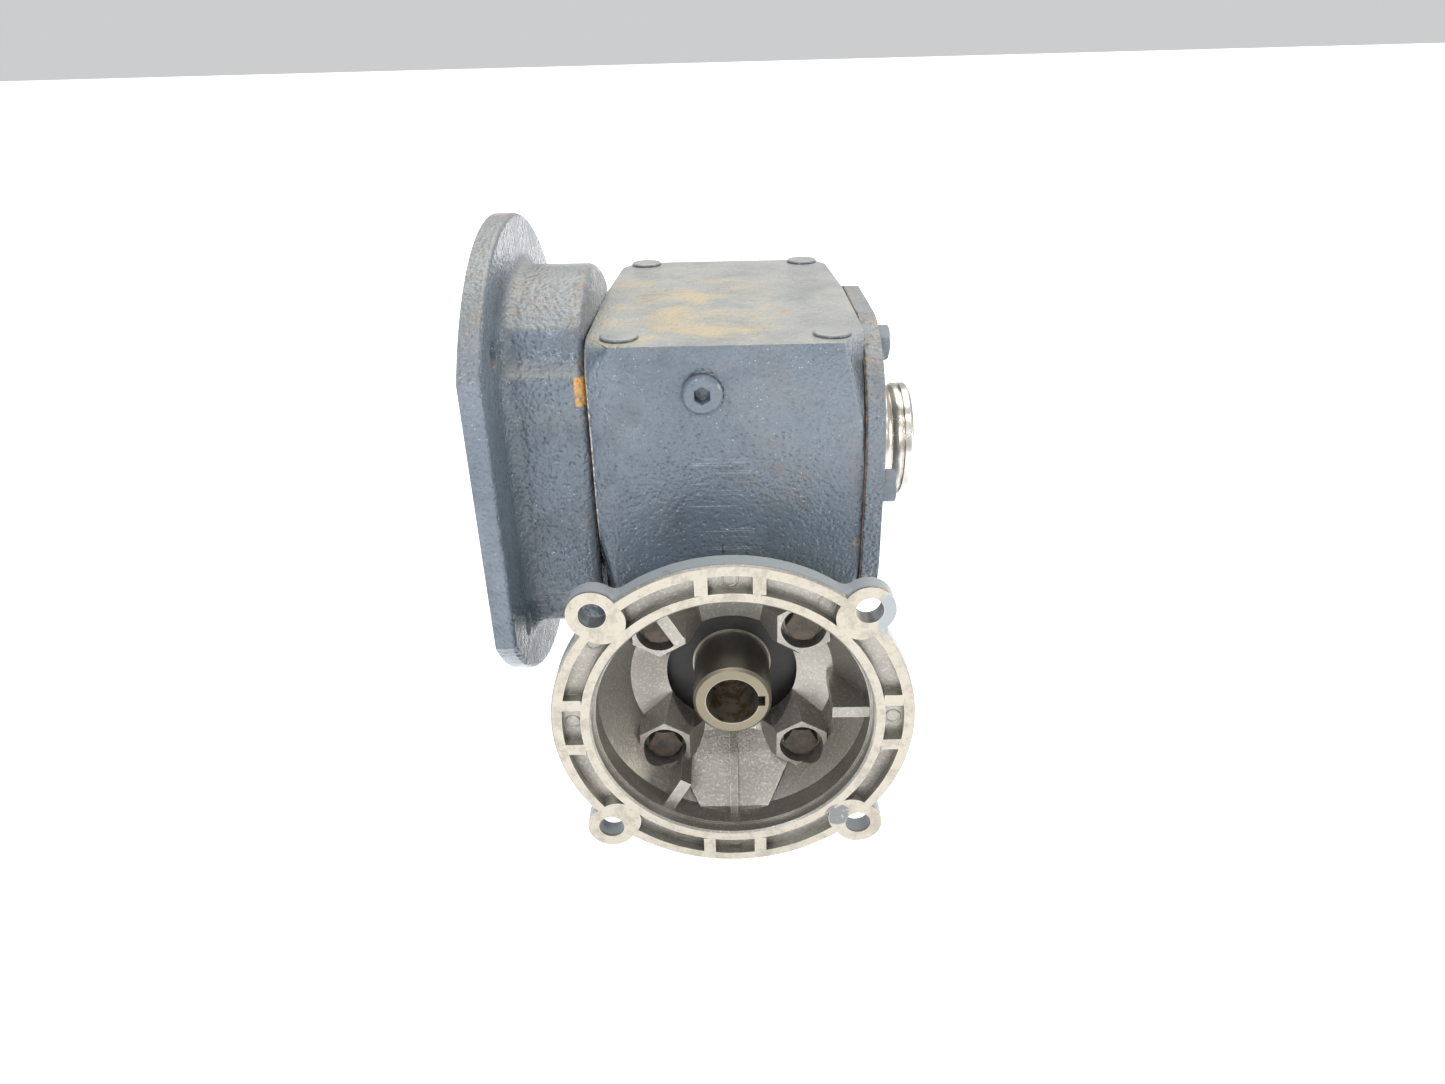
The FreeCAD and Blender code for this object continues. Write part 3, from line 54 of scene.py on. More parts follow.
class Graph:
    """A material under construction: short calls add nodes and return their output sockets."""

    def __init__(self, name):
        self.material = bpy.data.materials.new(name)
        self.material.use_nodes = True
        self.tree = self.material.node_tree
        self.tree.nodes.clear()
        self.shader = self.tree.nodes.new("ShaderNodeBsdfPrincipled")
        output = self.tree.nodes.new("ShaderNodeOutputMaterial")
        self.tree.links.new(self.shader.outputs["BSDF"], output.inputs["Surface"])
        self.place = self.tree.nodes.new("ShaderNodeTexCoord").outputs["Object"]

    def plug(self, socket, value):
        """Give an input a socket to read, or a fixed value."""
        if isinstance(value, bpy.types.NodeSocket):
            self.tree.links.new(value, socket)
        else:
            socket.default_value = value

    def stretch(self, scale):
        """Object position scaled unevenly, for brushed or scratched directions."""
        node = self.tree.nodes.new("ShaderNodeMapping")
        self.plug(node.inputs["Vector"], self.place)
        node.inputs["Scale"].default_value = scale
        return node.outputs["Vector"]

    def noise(self, scale, detail=3.0, rough=0.55, where=None):
        """Fractal noise; scale is in cells per metre."""
        node = self.tree.nodes.new("ShaderNodeTexNoise")
        self.plug(node.inputs["Vector"], where or self.place)
        node.inputs["Scale"].default_value = scale
        node.inputs["Detail"].default_value = detail
        node.inputs["Roughness"].default_value = rough
        return node.outputs["Fac"]

    def cells(self, scale):
        """Distance inside scattered cells, for pits and spots."""
        node = self.tree.nodes.new("ShaderNodeTexVoronoi")
        self.plug(node.inputs["Vector"], self.place)
        node.inputs["Scale"].default_value = scale
        return node.outputs["Distance"]

    def window(self, value, low, high):
        """0 below low, 1 above high, smooth between; low above high turns it round."""
        node = self.tree.nodes.new("ShaderNodeMapRange")
        node.interpolation_type = "SMOOTHSTEP"
        self.plug(node.inputs["Value"], value)
        if low <= high:
            node.inputs["From Min"].default_value = low
            node.inputs["From Max"].default_value = high
        else:
            node.inputs["From Min"].default_value = high
            node.inputs["From Max"].default_value = low
            node.inputs["To Min"].default_value = 1.0
            node.inputs["To Max"].default_value = 0.0
        return node.outputs["Result"]

    def math(self, operation, first, second=0.0):
        """One arithmetic step."""
        node = self.tree.nodes.new("ShaderNodeMath")
        node.operation = operation
        self.plug(node.inputs[0], first)
        self.plug(node.inputs[1], second)
        return node.outputs["Value"]

    def both(self, *masks):
        """Product of masks."""
        result = masks[0]
        for mask in masks[1:]:
            result = self.math("MULTIPLY", result, mask)
        return result

    def mix(self, mask, first, second, blend="MIX"):
        """Blend two colours by a mask."""
        node = self.tree.nodes.new("ShaderNodeMix")
        node.data_type = "RGBA"
        node.blend_type = blend
        self.plug(node.inputs["Factor"], mask)
        for socket, value in ((node.inputs[6], first), (node.inputs[7], second)):
            self.plug(socket, value if isinstance(value, bpy.types.NodeSocket) else (*value, 1.0))
        return node.outputs[2]

    def blend(self, mask, first, second):
        """Blend two numbers by a mask."""
        node = self.tree.nodes.new("ShaderNodeMix")
        self.plug(node.inputs["Factor"], mask)
        self.plug(node.inputs[2], first)
        self.plug(node.inputs[3], second)
        return node.outputs[0]

    def axis(self, letter, source=None):
        """One coordinate of the object position, or of another vector."""
        node = self.tree.nodes.new("ShaderNodeSeparateXYZ")
        self.plug(node.inputs[0], source or self.place)
        return node.outputs[letter]

    def facing(self, letter):
        """One component of the surface's true direction, in the object's frame."""
        geometry = self.tree.nodes.new("ShaderNodeNewGeometry")
        return self.axis(letter, geometry.outputs["True Normal"])

    def edges(self, radius, low=0.03, high=0.25):
        """1 on convex and concave edges, from how far a rounded normal leaves the flat one."""
        bevel = self.tree.nodes.new("ShaderNodeBevel")
        bevel.samples = BEVEL_SAMPLES
        bevel.inputs["Radius"].default_value = radius
        geometry = self.tree.nodes.new("ShaderNodeNewGeometry")
        dot = self.tree.nodes.new("ShaderNodeVectorMath")
        dot.operation = "DOT_PRODUCT"
        self.plug(dot.inputs[0], bevel.outputs["Normal"])
        self.plug(dot.inputs[1], geometry.outputs["Normal"])
        return self.window(self.math("SUBTRACT", 1.0, dot.outputs["Value"]), low, high)

    def near(self, centre, radius, soft=0.4):
        """1 inside a ball round a point, given in millimetres."""
        node = self.tree.nodes.new("ShaderNodeVectorMath")
        node.operation = "DISTANCE"
        self.plug(node.inputs[0], self.place)
        node.inputs[1].default_value = [number * MM for number in centre]
        return self.window(node.outputs["Value"], radius * MM, radius * (1 - soft) * MM)

    def band(self, letter, low, high, soft=0.3):
        """1 between two stations of an axis, given in millimetres."""
        place = self.axis(letter)
        rise = self.window(place, (low - soft) * MM, low * MM)
        return self.math("MULTIPLY", rise, self.window(place, (high + soft) * MM, high * MM))

    def rounded(self, radius):
        """Surface direction with the edges softened over a radius."""
        node = self.tree.nodes.new("ShaderNodeBevel")
        node.samples = BEVEL_SAMPLES
        self.plug(node.inputs["Radius"], radius)
        return node.outputs["Normal"]

    def hollows(self, distance, low=0.55, high=0.95):
        """1 in corners and cavities, from ambient occlusion: where dirt gathers and where shade falls,
        used for both dirt and painted shade.
        """
        node = self.tree.nodes.new("ShaderNodeAmbientOcclusion")
        node.samples = HOLLOW_SAMPLES
        node.inputs["Distance"].default_value = distance
        return self.window(node.outputs["AO"], high, low)

    def bump(self, height, strength, distance, normal=None):
        """Surface relief from a height socket; distance in metres."""
        node = self.tree.nodes.new("ShaderNodeBump")
        node.inputs["Strength"].default_value = strength
        node.inputs["Distance"].default_value = distance
        self.plug(node.inputs["Height"], height)
        if normal is not None:
            self.plug(node.inputs["Normal"], normal)
        return node.outputs["Normal"]

    def finish(self, colour, metallic, roughness, normal, coat=0.0):
        """Connect the results to the shader."""
        self.plug(self.shader.inputs["Base Color"], colour)
        self.plug(self.shader.inputs["Metallic"], metallic)
        self.plug(self.shader.inputs["Roughness"], roughness)
        self.plug(self.shader.inputs["Normal"], normal)
        self.plug(self.shader.inputs["Coat Weight"], coat)
        self.plug(self.shader.inputs["Coat Normal"], normal)
        return self.material


# colours, linear
PAINT = (0.098, 0.128, 0.160)
PAINT_LIGHT = (0.140, 0.172, 0.207)
PAINT_DARK = (0.060, 0.077, 0.096)
PAINT_WARM = (0.20, 0.17, 0.13)
PAINT_SPECK = (0.075, 0.05, 0.035)
# pale colour for painted glints in the enamel
PAINT_GLINT = (0.52, 0.55, 0.57)
PAINT_WORN = (0.30, 0.25, 0.20)
# pale colour for dust and painted sheen on upward-facing surfaces
TOP_DUST_AND_SHEEN = (0.40, 0.40, 0.37)
OCHRE = (0.62, 0.47, 0.22)
RUST = (0.20, 0.085, 0.035)
RUST_BRIGHT = (0.55, 0.28, 0.06)
BROWN_PRIMER = (0.21, 0.15, 0.10)
# dirt colour that also paints shade into corners and cavities
GRIME_AND_SHADE = (0.035, 0.032, 0.030)
BARE_IRON = (0.50, 0.48, 0.44)
ALUMINIUM = (0.37, 0.35, 0.315)
ALUMINIUM_FACE = (0.47, 0.43, 0.36)
ALUMINIUM_DARK = (0.17, 0.16, 0.145)
STEEL = (0.62, 0.60, 0.565)
STEEL_DARK = (0.33, 0.30, 0.26)
SCRATCH = (0.34, 0.37, 0.40)
DRIP = (0.07, 0.055, 0.045)
# dark colour for dirt and painted shade beside the flange's joint with the case
JOINT_SOIL_AND_SHADE = (0.13, 0.10, 0.07)
# light warm colour for dust and painted light on the flange's upward-facing surfaces
FLANGE_TOP_SOIL_AND_LIGHT = (0.26, 0.20, 0.15)
COVER_SOIL = (0.10, 0.065, 0.04)
# light warm colour for dirt and painted light on the cover's upward-facing surfaces
COVER_TOP_SOIL_AND_LIGHT = (0.28, 0.22, 0.17)
# pale colour for painted glints on the die casting
ALUMINIUM_GLINT = (0.66, 0.64, 0.60)
PEPPER = (0.06, 0.05, 0.04)
OIL_FILM = (0.30, 0.24, 0.12)
FACE_STAIN = (0.25, 0.225, 0.185)
FACE_DOTS = (0.10, 0.08, 0.06)
# dark colour for dirt and painted shade in the adapter's hollows
BOWL_DIRT_AND_SHADE = (0.10, 0.09, 0.075)
OVERSPRAY = (0.32, 0.345, 0.36)
EAR_OVERSPRAY = (0.17, 0.18, 0.185)
ALUMINIUM_EDGE = (0.78, 0.75, 0.69)
# warm tint for a painted reflection on the shaft's upper half
SHAFT_WARM_REFLECTION = (0.62, 0.52, 0.34)
SHAFT_FLECK = (0.24, 0.26, 0.27)
QUILL_FACE = (0.215, 0.19, 0.14)
# lighter colour for painted light inside the quill's bore
QUILL_BORE_LIGHT = (0.42, 0.39, 0.34)
QUILL_RUST = (0.20, 0.12, 0.05)


def case_marks(g, colour):
    """Wear on the case: ochre smears on top, grinding scratches in front, a chip and a bare seat edge."""
    up = g.window(g.facing("Z"), 0.6, 0.95)
    smear = g.window(g.noise(34, 8, 0.75, where=g.stretch((0.9, 1.1, 1.0))), 0.44, 0.62)
    stained = g.both(up, smear, g.band("X", -42, 10, 16), g.band("Y", -46, 50, 20))
    colour = g.mix(g.math("MULTIPLY", stained, 0.6), colour, OCHRE)
    colour = g.mix(g.near((25, -6, 60), 2.2), colour, RUST_BRIGHT)

    lines = g.window(g.noise(1.0, 2, 0.5, where=g.stretch((28, 28, 1500))), 0.56, 0.66)
    scratched = g.both(lines, g.band("X", -12, 6, 5), g.band("Z", -24, 10, 8), g.band("Y", -58, -56))
    colour = g.mix(g.math("MULTIPLY", scratched, 0.5), colour, SCRATCH)
    bruise = g.both(g.near((22, -57, 6), 24, 0.9), g.window(g.noise(120, 5), 0.42, 0.62))
    colour = g.mix(g.math("MULTIPLY", bruise, 0.22), colour, BROWN_PRIMER)
    streak = g.both(g.near((-3, -57, 46), 11, 0.9), g.window(g.noise(160, 5, 0.7), 0.52, 0.66))
    colour = g.mix(g.math("MULTIPLY", streak, 0.45), colour, RUST)
    drip = g.both(g.band("X", -3.0, -2.5, 0.3), g.band("Z", -37, -24, 2), g.band("Y", -58, -56))
    colour = g.mix(g.math("MULTIPLY", drip, 0.8), colour, DRIP)

    chip = g.both(g.band("X", 50.6, 56, 0.6), g.near((53, -51, -24), 6.5, 0.15))
    chip = g.both(chip, g.window(g.noise(200, 4), 0.42, 0.46))
    colour = g.mix(chip, colour, BROWN_PRIMER)
    seam = g.both(g.band("X", -55, -53.5, 0.1), g.band("Y", -58, -20), g.band("Z", -40, 57))
    return colour, g.both(seam, g.window(g.noise(70, 4), 0.34, 0.40))


def flange_marks(g, colour):
    """Wear on the flange casting: an orange rust patch, dirt and painted shade beside the joint with the
    case, and dust with painted light on upward-facing surfaces.
    """
    patch = g.both(g.band("X", -58.3, -54, 0.4), g.band("Z", 36.5, 47, 0.7), g.band("Y", -60, -40))
    patch = g.both(patch, g.window(g.noise(330, 5, 0.7), 0.36, 0.46))
    colour = g.mix(patch, colour, RUST_BRIGHT)
    # dirt and painted shade in a patchy band beside the joint with the case
    soil = g.both(g.band("X", -59, -54, 2.5), g.window(g.noise(150, 5, 0.7), 0.48, 0.62))
    colour = g.mix(g.math("MULTIPLY", soil, 0.5), colour, JOINT_SOIL_AND_SHADE)
    # dust and painted light: upward-facing surfaces are lightened in patches
    rim = g.both(g.window(g.facing("Z"), 0.3, 0.9), g.window(g.noise(75, 6, 0.75), 0.50, 0.64))
    return g.mix(g.math("MULTIPLY", rim, 0.55), colour, FLANGE_TOP_SOIL_AND_LIGHT), None


def cover_marks(g, colour):
    """Wear on the bearing cover: rust and dirt along the joint, and dirt with painted light on its
    upward-facing surfaces and top edge.
    """
    soil = g.both(g.band("X", 53, 54.9, 0.7), g.window(g.noise(190, 6, 0.75), 0.46, 0.56))
    colour = g.mix(g.math("MULTIPLY", soil, 0.8), colour, COVER_SOIL)
    # dirt and painted light: upward-facing surfaces are lightened in patches
    rim = g.both(g.window(g.facing("Z"), 0.2, 0.8), g.window(g.noise(110, 6, 0.75), 0.48, 0.62))
    return g.mix(g.math("MULTIPLY", rim, 0.6), colour, COVER_TOP_SOIL_AND_LIGHT), None


def enamel_colour(g, patch, top, dust_and_sheen):
    """Mottled blue-grey enamel with a pale dust film and painted sheen on tops, dirt and painted shade in
    corners, specks, painted glints and worn edges.
    """
    colour = g.mix(g.window(g.noise(14, 4, 0.6), 0.35, 0.68), PAINT, PAINT_LIGHT)
    colour = g.mix(g.math("MULTIPLY", g.window(patch, 0.46, 0.72), 0.5), colour, PAINT_DARK)
    colour = g.mix(g.math("MULTIPLY", g.window(g.noise(420, 3), 0.55, 0.72), 0.3), colour, PAINT_LIGHT)
    warm = g.window(g.noise(22, 5, 0.6), 0.52, 0.72)
    colour = g.mix(g.math("MULTIPLY", warm, 0.18), colour, PAINT_WARM)
    # a pale dust film and painted sheen lighten upward-facing surfaces
    colour = g.mix(g.math("MULTIPLY", top, dust_and_sheen), colour, TOP_DUST_AND_SHEEN)

    # dirt and painted shade: corners and cavities are darkened from ambient occlusion
    dirt_and_shade = g.both(g.hollows(0.008, 0.35, 0.8), g.window(g.noise(90, 5), 0.36, 0.60))
    colour = g.mix(g.math("MULTIPLY", dirt_and_shade, 0.6), colour, GRIME_AND_SHADE)
    speck = g.both(g.window(g.cells(310), 0.11, 0.05), g.window(g.noise(45, 4), 0.56, 0.64))
    colour = g.mix(g.math("MULTIPLY", speck, 0.8), colour, PAINT_SPECK)
    # painted glints: small pale flecks scattered over the enamel
    fleck = g.both(g.window(g.cells(430), 0.12, 0.06), g.window(g.noise(38, 4), 0.46, 0.56))
    colour = g.mix(g.math("MULTIPLY", fleck, 0.8), colour, PAINT_GLINT)
    edge = g.both(g.edges(0.8 * MM, 0.05, 0.30), g.window(g.noise(260, 6, 0.7), 0.46, 0.60))
    return g.mix(g.math("MULTIPLY", edge, 0.55), colour, PAINT_WORN)


def enamel_relief(g, grain, wide_edges):
    """Cast lumps, orange peel and pits, over wider rounding on the case's slanted facets."""
    lumps = g.math("MULTIPLY", g.noise(240, 3, 0.5), 0.9)
    peel = g.math("MULTIPLY", g.noise(620, 2, 0.5), 1.1)
    pits = g.math("MULTIPLY", g.window(g.cells(420), 0.0, 0.50), 0.60)
    height = g.math("ADD", g.math("ADD", lumps, peel), pits)
    normal = None
    if wide_edges:
        left = g.both(g.band("X", -50, -38, 1), g.band("Z", -149, 59))
        right = g.both(g.band("X", 38, 50, 1), g.band("Z", -149, 59))
        normal = g.rounded(g.blend(g.math("MAXIMUM", left, right), 0.4 * MM, 2.0 * MM))
    return g.bump(height, 1.0, 0.00050 * grain, normal)


def paint_material(name, grain=1.0, dust_and_sheen=0.5, marks=None, wide_edges=False):
    """Satin enamel over cast iron, with the marks that one casting has of its own."""
    g = Graph(name)
    patch = g.noise(60, 5, 0.65)
    thin = g.blend(g.window(g.noise(40, 6, 0.7), 0.30, 0.66), 0.55, 1.0)
    # upward-facing surfaces, which get dust, painted sheen and a rougher finish
    top = g.both(g.window(g.facing("Z"), 0.35, 0.95), thin)
    colour = enamel_colour(g, patch, top, dust_and_sheen)
    metal = 0.0
    if marks is not None:
        colour, bare = marks(g, colour)
        if bare is not None:
            colour = g.mix(bare, colour, BARE_IRON)
            metal = g.math("MULTIPLY", bare, 0.6)
    rough = g.blend(g.window(patch, 0.35, 0.7), 0.22, 0.36)
    rough = g.blend(top, rough, 0.45)
    return g.finish(colour, metal, rough, enamel_relief(g, grain, wide_edges), 0.35)


def adapter_position(g):
    """Radius from the input axis and station along it, as sockets."""
    across = g.axis("X")
    up = g.math("SUBTRACT", g.axis("Z"), INPUT_HEIGHT * MM)
    squares = g.math("ADD", g.math("MULTIPLY", across, across), g.math("MULTIPLY", up, up))
    return g.math("SQRT", squares), g.axis("Y")


def aluminium_material():
    """Die-cast adapter: machined cream face, smooth grey bowl, blue-grey overspray outside."""
    g = Graph("die_cast_aluminium")
    radius, forward = adapter_position(g)
    face = g.both(g.window(g.facing("Y"), -0.90, -0.99), g.band("Y", -98, -96.6, 0.2))
    cloud = g.window(g.noise(26, 4, 0.55), 0.30, 0.70)
    colour = g.mix(g.math("MULTIPLY", cloud, 0.55), ALUMINIUM, ALUMINIUM_DARK)
    # painted shade: upward-facing surfaces inside the bowl are darkened
    shade = g.both(g.window(g.facing("Z"), 0.10, 0.55), g.window(radius, 0.058, 0.050))
    colour = g.mix(g.math("MULTIPLY", shade, 0.45), colour, ALUMINIUM_DARK)
    # painted glints: a fine pale speckle over the casting
    sparkle = g.window(g.noise(900, 2, 0.5), 0.50, 0.72)
    colour = g.mix(g.math("MULTIPLY", sparkle, 0.30), colour, ALUMINIUM_GLINT)
    pepper = g.both(g.window(g.cells(700), 0.16, 0.08), g.window(g.noise(60, 4), 0.50, 0.62))
    colour = g.mix(g.math("MULTIPLY", pepper, 0.75), colour, PEPPER)
    oil = g.both(g.near((46, -75, -118), 26, 0.8), g.window(g.noise(60, 5, 0.6), 0.38, 0.60))
    colour = g.mix(g.math("MULTIPLY", oil, 0.35), colour, OIL_FILM)

    stain = g.window(g.noise(170, 6, 0.75), 0.46, 0.62)
    worn_face = g.mix(g.math("MULTIPLY", stain, 0.50), ALUMINIUM_FACE, FACE_STAIN)
    dots = g.both(g.window(g.cells(620), 0.13, 0.07), g.window(g.noise(50, 4), 0.50, 0.60))
    worn_face = g.mix(g.math("MULTIPLY", dots, 0.7), worn_face, FACE_DOTS)
    colour = g.mix(face, colour, worn_face)
    # dirt and painted shade: hollows are darkened from ambient occlusion
    dirt_and_shade = g.both(g.hollows(0.006, 0.30, 0.72), g.window(g.noise(200, 5), 0.34, 0.60))
    colour = g.mix(g.math("MULTIPLY", dirt_and_shade, 0.45), colour, BOWL_DIRT_AND_SHADE)

    outside = g.both(g.window(radius, 0.0722, 0.0732), g.window(forward, -0.0965, -0.0950))
    behind = g.both(g.window(radius, 0.0605, 0.0615), g.window(forward, -0.0893, -0.0888))
    ear = g.both(g.near((66, -97, -34), 12, 0.12), g.window(g.axis("X"), 0.0560, 0.0566))
    low_ear = g.both(g.near((44, -97, -133), 6, 0.15), g.window(g.axis("X"), 0.0490, 0.0478))
    spray = g.math("MAXIMUM", g.math("MAXIMUM", outside, behind), ear)
    spray = g.both(spray, g.window(g.noise(90, 4), 0.22, 0.32))
    colour = g.mix(spray, colour, OVERSPRAY)
    low_spray = g.both(low_ear, g.window(g.noise(300, 4), 0.34, 0.44))
    colour = g.mix(low_spray, colour, EAR_OVERSPRAY)
    spray = g.math("MAXIMUM", spray, low_spray)

    edge = g.both(g.edges(0.7 * MM), g.window(g.noise(180, 5), 0.40, 0.55))
    colour = g.mix(g.math("MULTIPLY", edge, 0.7), colour, ALUMINIUM_EDGE)
    cast = g.math("ADD", g.noise(900, 3, 0.6), g.math("MULTIPLY", g.noise(170, 3), 0.6))
    turned = g.noise(900, 2, 0.5, where=g.stretch((1.0, 0.15, 0.15)))
    height = g.blend(face, cast, g.math("MULTIPLY", turned, 0.3))
    normal = g.bump(height, 1.0, 0.00020)
    metal = g.blend(spray, g.blend(face, 0.75, 0.35), 0.0)
    rough = g.blend(face, g.blend(cloud, 0.30, 0.46), 0.46)
    return g.finish(colour, metal, rough, normal)


def bare_steel(name, base, dark, roughness, along="X", stain=0.4, marks=None):
    """Turned or ground steel with fine marks round its axis and light oil stains."""
    g = Graph(name)
    squash = {"X": (1.0, 0.06, 0.06), "Y": (0.06, 1.0, 0.06), "Z": (0.06, 0.06, 1.0)}[along]
    rings = g.noise(2600, 3, 0.6, where=g.stretch(squash))
    cloud = g.noise(55, 5, 0.65)
    colour = g.mix(g.math("MULTIPLY", g.window(cloud, 0.45, 0.75), stain), base, dark)
    colour = g.mix(g.math("MULTIPLY", g.window(rings, 0.5, 0.8), 0.25), colour, dark)
    # dirt and painted shade: hollows are darkened from ambient occlusion
    dirt_and_shade = g.both(g.hollows(0.005, 0.35, 0.8), g.window(g.noise(160, 4), 0.34, 0.6))
    colour = g.mix(g.math("MULTIPLY", dirt_and_shade, 0.6), colour, GRIME_AND_SHADE)
    spots = g.both(g.window(g.cells(420), 0.14, 0.08), g.window(g.noise(70, 3), 0.60, 0.68))
    colour = g.mix(g.math("MULTIPLY", spots, 0.7), colour, RUST)
    covered = 0.0
    if marks is not None:
        colour, covered = marks(g, colour)
    normal = g.bump(rings, 0.10, 0.0003)
    rough = g.blend(g.window(cloud, 0.4, 0.75), roughness, roughness + 0.16)
    metal = g.math("SUBTRACT", 0.92, g.math("MULTIPLY", covered, 0.92))
    return g.finish(colour, metal, rough, normal)


def shaft_marks(g, colour):
    """Straw tint over the upper half as a painted warm reflection, and a fleck of enamel beside the
    cover.
    """
    # painted reflection: the upper half of the shaft is tinted warm
    upper = g.both(g.window(g.axis("Z"), -0.006, 0.010), g.band("X", 60, 76, 2))
    colour = g.mix(g.math("MULTIPLY", upper, 0.3), colour, SHAFT_WARM_REFLECTION)
    fleck = g.both(g.band("X", 60, 66.2, 0.2), g.near((63, -24, 6), 6.5, 0.2))
    fleck = g.both(fleck, g.window(g.noise(240, 3), 0.40, 0.44))
    return g.mix(fleck, colour, SHAFT_FLECK), fleck


def quill_marks(g, colour):
    """Cream end face, painted light inside the bore, a rusty streak low in the bore and dark oil round
    the outside.
    """
    face = g.band("Y", -82, -80.2, 0.3)
    colour = g.mix(face, colour, QUILL_FACE)
    radius = adapter_position(g)[0]
    # painted light: the inside of the bore is lightened
    colour = g.mix(g.window(radius, 0.0116, 0.0112), colour, QUILL_BORE_LIGHT)
    low = g.both(g.window(radius, 0.0115, 0.0111), g.window(g.axis("Z"), -0.0900, -0.0925))
    rusty = g.both(low, g.window(g.noise(150, 6, 0.75), 0.46, 0.58))
    return g.mix(g.math("MULTIPLY", rusty, 0.85), colour, QUILL_RUST), 0.0


def rusty_bolt():
    """Plain hexagon bolts with a brown bloom and darker edges."""
    g = Graph("rusty_bolt_steel")
    bloom = g.noise(210, 6, 0.75)
    colour = g.mix(g.window(bloom, 0.36, 0.62), (0.052, 0.045, 0.040), (0.105, 0.080, 0.062))
    colour = g.mix(g.math("MULTIPLY", g.window(g.noise(600, 4), 0.58, 0.7), 0.3), colour, RUST)
    edge = g.both(g.edges(0.5 * MM), g.window(g.noise(300, 4), 0.5, 0.6))
    colour = g.mix(edge, colour, (0.32, 0.29, 0.25))
    normal = g.bump(g.noise(700, 5, 0.6), 0.4, 0.0005)
    return g.finish(colour, 0.45, g.blend(bloom, 0.45, 0.75), normal)


def rubber():
    """Black nitrile with oily patches and dust."""
    g = Graph("seal_rubber_black")
    patch = g.noise(120, 5, 0.6)
    colour = g.mix(g.window(patch, 0.4, 0.7), (0.010, 0.010, 0.010), (0.024, 0.022, 0.020))
    normal = g.bump(g.noise(900, 3), 0.15, 0.0003)
    return g.finish(colour, 0.0, g.blend(patch, 0.30, 0.62), normal)


def fibre():
    """Gasket sheet and sealing compound squeezed out at the joints."""
    g = Graph("gasket_fibre")
    patch = g.noise(260, 5, 0.7)
    colour = g.mix(g.window(patch, 0.4, 0.65), (0.035, 0.028, 0.022), (0.16, 0.095, 0.05))
    normal = g.bump(g.noise(800, 4), 0.4, 0.0004)
    return g.finish(colour, 0.0, 0.7, normal)


def bronze():
    """Hobbed bronze with darker oil and painted shade in the tooth roots."""
    g = Graph("wheel_bronze")
    patch = g.noise(90, 5, 0.6)
    colour = g.mix(g.window(patch, 0.4, 0.7), (0.56, 0.36, 0.13), (0.40, 0.24, 0.08))
    # oil and painted shade: tooth roots are darkened from ambient occlusion
    colour = g.mix(g.math("MULTIPLY", g.hollows(0.004), 0.6), colour, (0.07, 0.045, 0.02))
    normal = g.bump(g.noise(1400, 3, where=g.stretch((1.0, 0.2, 0.2))), 0.12, 0.0003)
    return g.finish(colour, 0.95, g.blend(patch, 0.24, 0.40), normal)


FINISHES = {
    "case_paint": lambda: paint_material("case_enamel", 1.0, 0.95, case_marks, wide_edges=True),
    "casting_paint": lambda: paint_material("casting_enamel", 1.3, 0.35),
    "painted_fastener": lambda: paint_material("fastener_enamel", 0.4, 0.0),
    "plug_paint": lambda: paint_material("plug_enamel", 0.3, 0.9),
    "adapter_aluminium": aluminium_material,
    "rusty_steel": rusty_bolt,
    "black_steel": lambda: bare_steel("black_oxide", (0.05, 0.05, 0.052), (0.02, 0.02, 0.02), 0.42),
    "seal_rubber": rubber,
    "gasket_sheet": fibre,
    "polished_steel": lambda: bare_steel("ground_shaft_steel", STEEL, (0.34, 0.32, 0.29), 0.22, "X", 0.5,
                                         shaft_marks),
    "dark_steel": lambda: bare_steel("turned_quill_steel", STEEL_DARK, (0.09, 0.08, 0.07), 0.34, "Y", 0.4,
                                     quill_marks),
    "bronze": bronze,
    "bearing_steel": lambda: bare_steel("bearing_race_steel", (0.66, 0.66, 0.66), (0.4, 0.4, 0.4), 0.12),
    "machined_steel": lambda: bare_steel("machined_part_steel", (0.50, 0.50, 0.49), (0.25, 0.24, 0.22),
                                         0.30, "Y"),
}
# nodes that carry wear of their own
NODE_FINISHES = {
    "output_flange": lambda: paint_material("flange_enamel", 1.2, 0.60, flange_marks),
    "bearing_cover": lambda: paint_material("cover_enamel", 1.5, 0.50, cover_marks),
}


def dress_nodes():
    """Give every CAD node the finish that its record slot names, or the node's own."""
    made = {slot: build() for slot, build in FINISHES.items()}
    for entry in frame["record"]["subparts"]:
        node = entry["node"]
        mesh = NODES[node].data
        mesh.materials.clear()
        own = NODE_FINISHES.get(node)
        mesh.materials.append(own() if own else made[entry["material_slot"]])


WELD_GAP = 0.002 * MM
FLAT_ANGLE = math.radians(0.5)
SHARP_ANGLE = math.radians(32)


def soften(node, width):
    """Round a node's sharp edges with a narrow bevel; its vertices stay as the frame gives them."""
    item = NODES[node]
    bpy.context.view_layer.objects.active = item
    bpy.ops.mesh.customdata_custom_splitnormals_clear()
    item.data.shade_smooth()
    weld = item.modifiers.new("weld", "WELD")
    weld.merge_threshold = WELD_GAP
    flat = item.modifiers.new("flatten", "DECIMATE")
    flat.decimate_type = "DISSOLVE"
    flat.angle_limit = FLAT_ANGLE
    round_edges = item.modifiers.new("soft_edges", "BEVEL")
    round_edges.width = width
    round_edges.segments = 2
    round_edges.limit_method = "ANGLE"
    round_edges.angle_limit = SHARP_ANGLE
    round_edges.harden_normals = True
    item.modifiers.new("even_shading", "WEIGHTED_NORMAL").keep_sharp = True


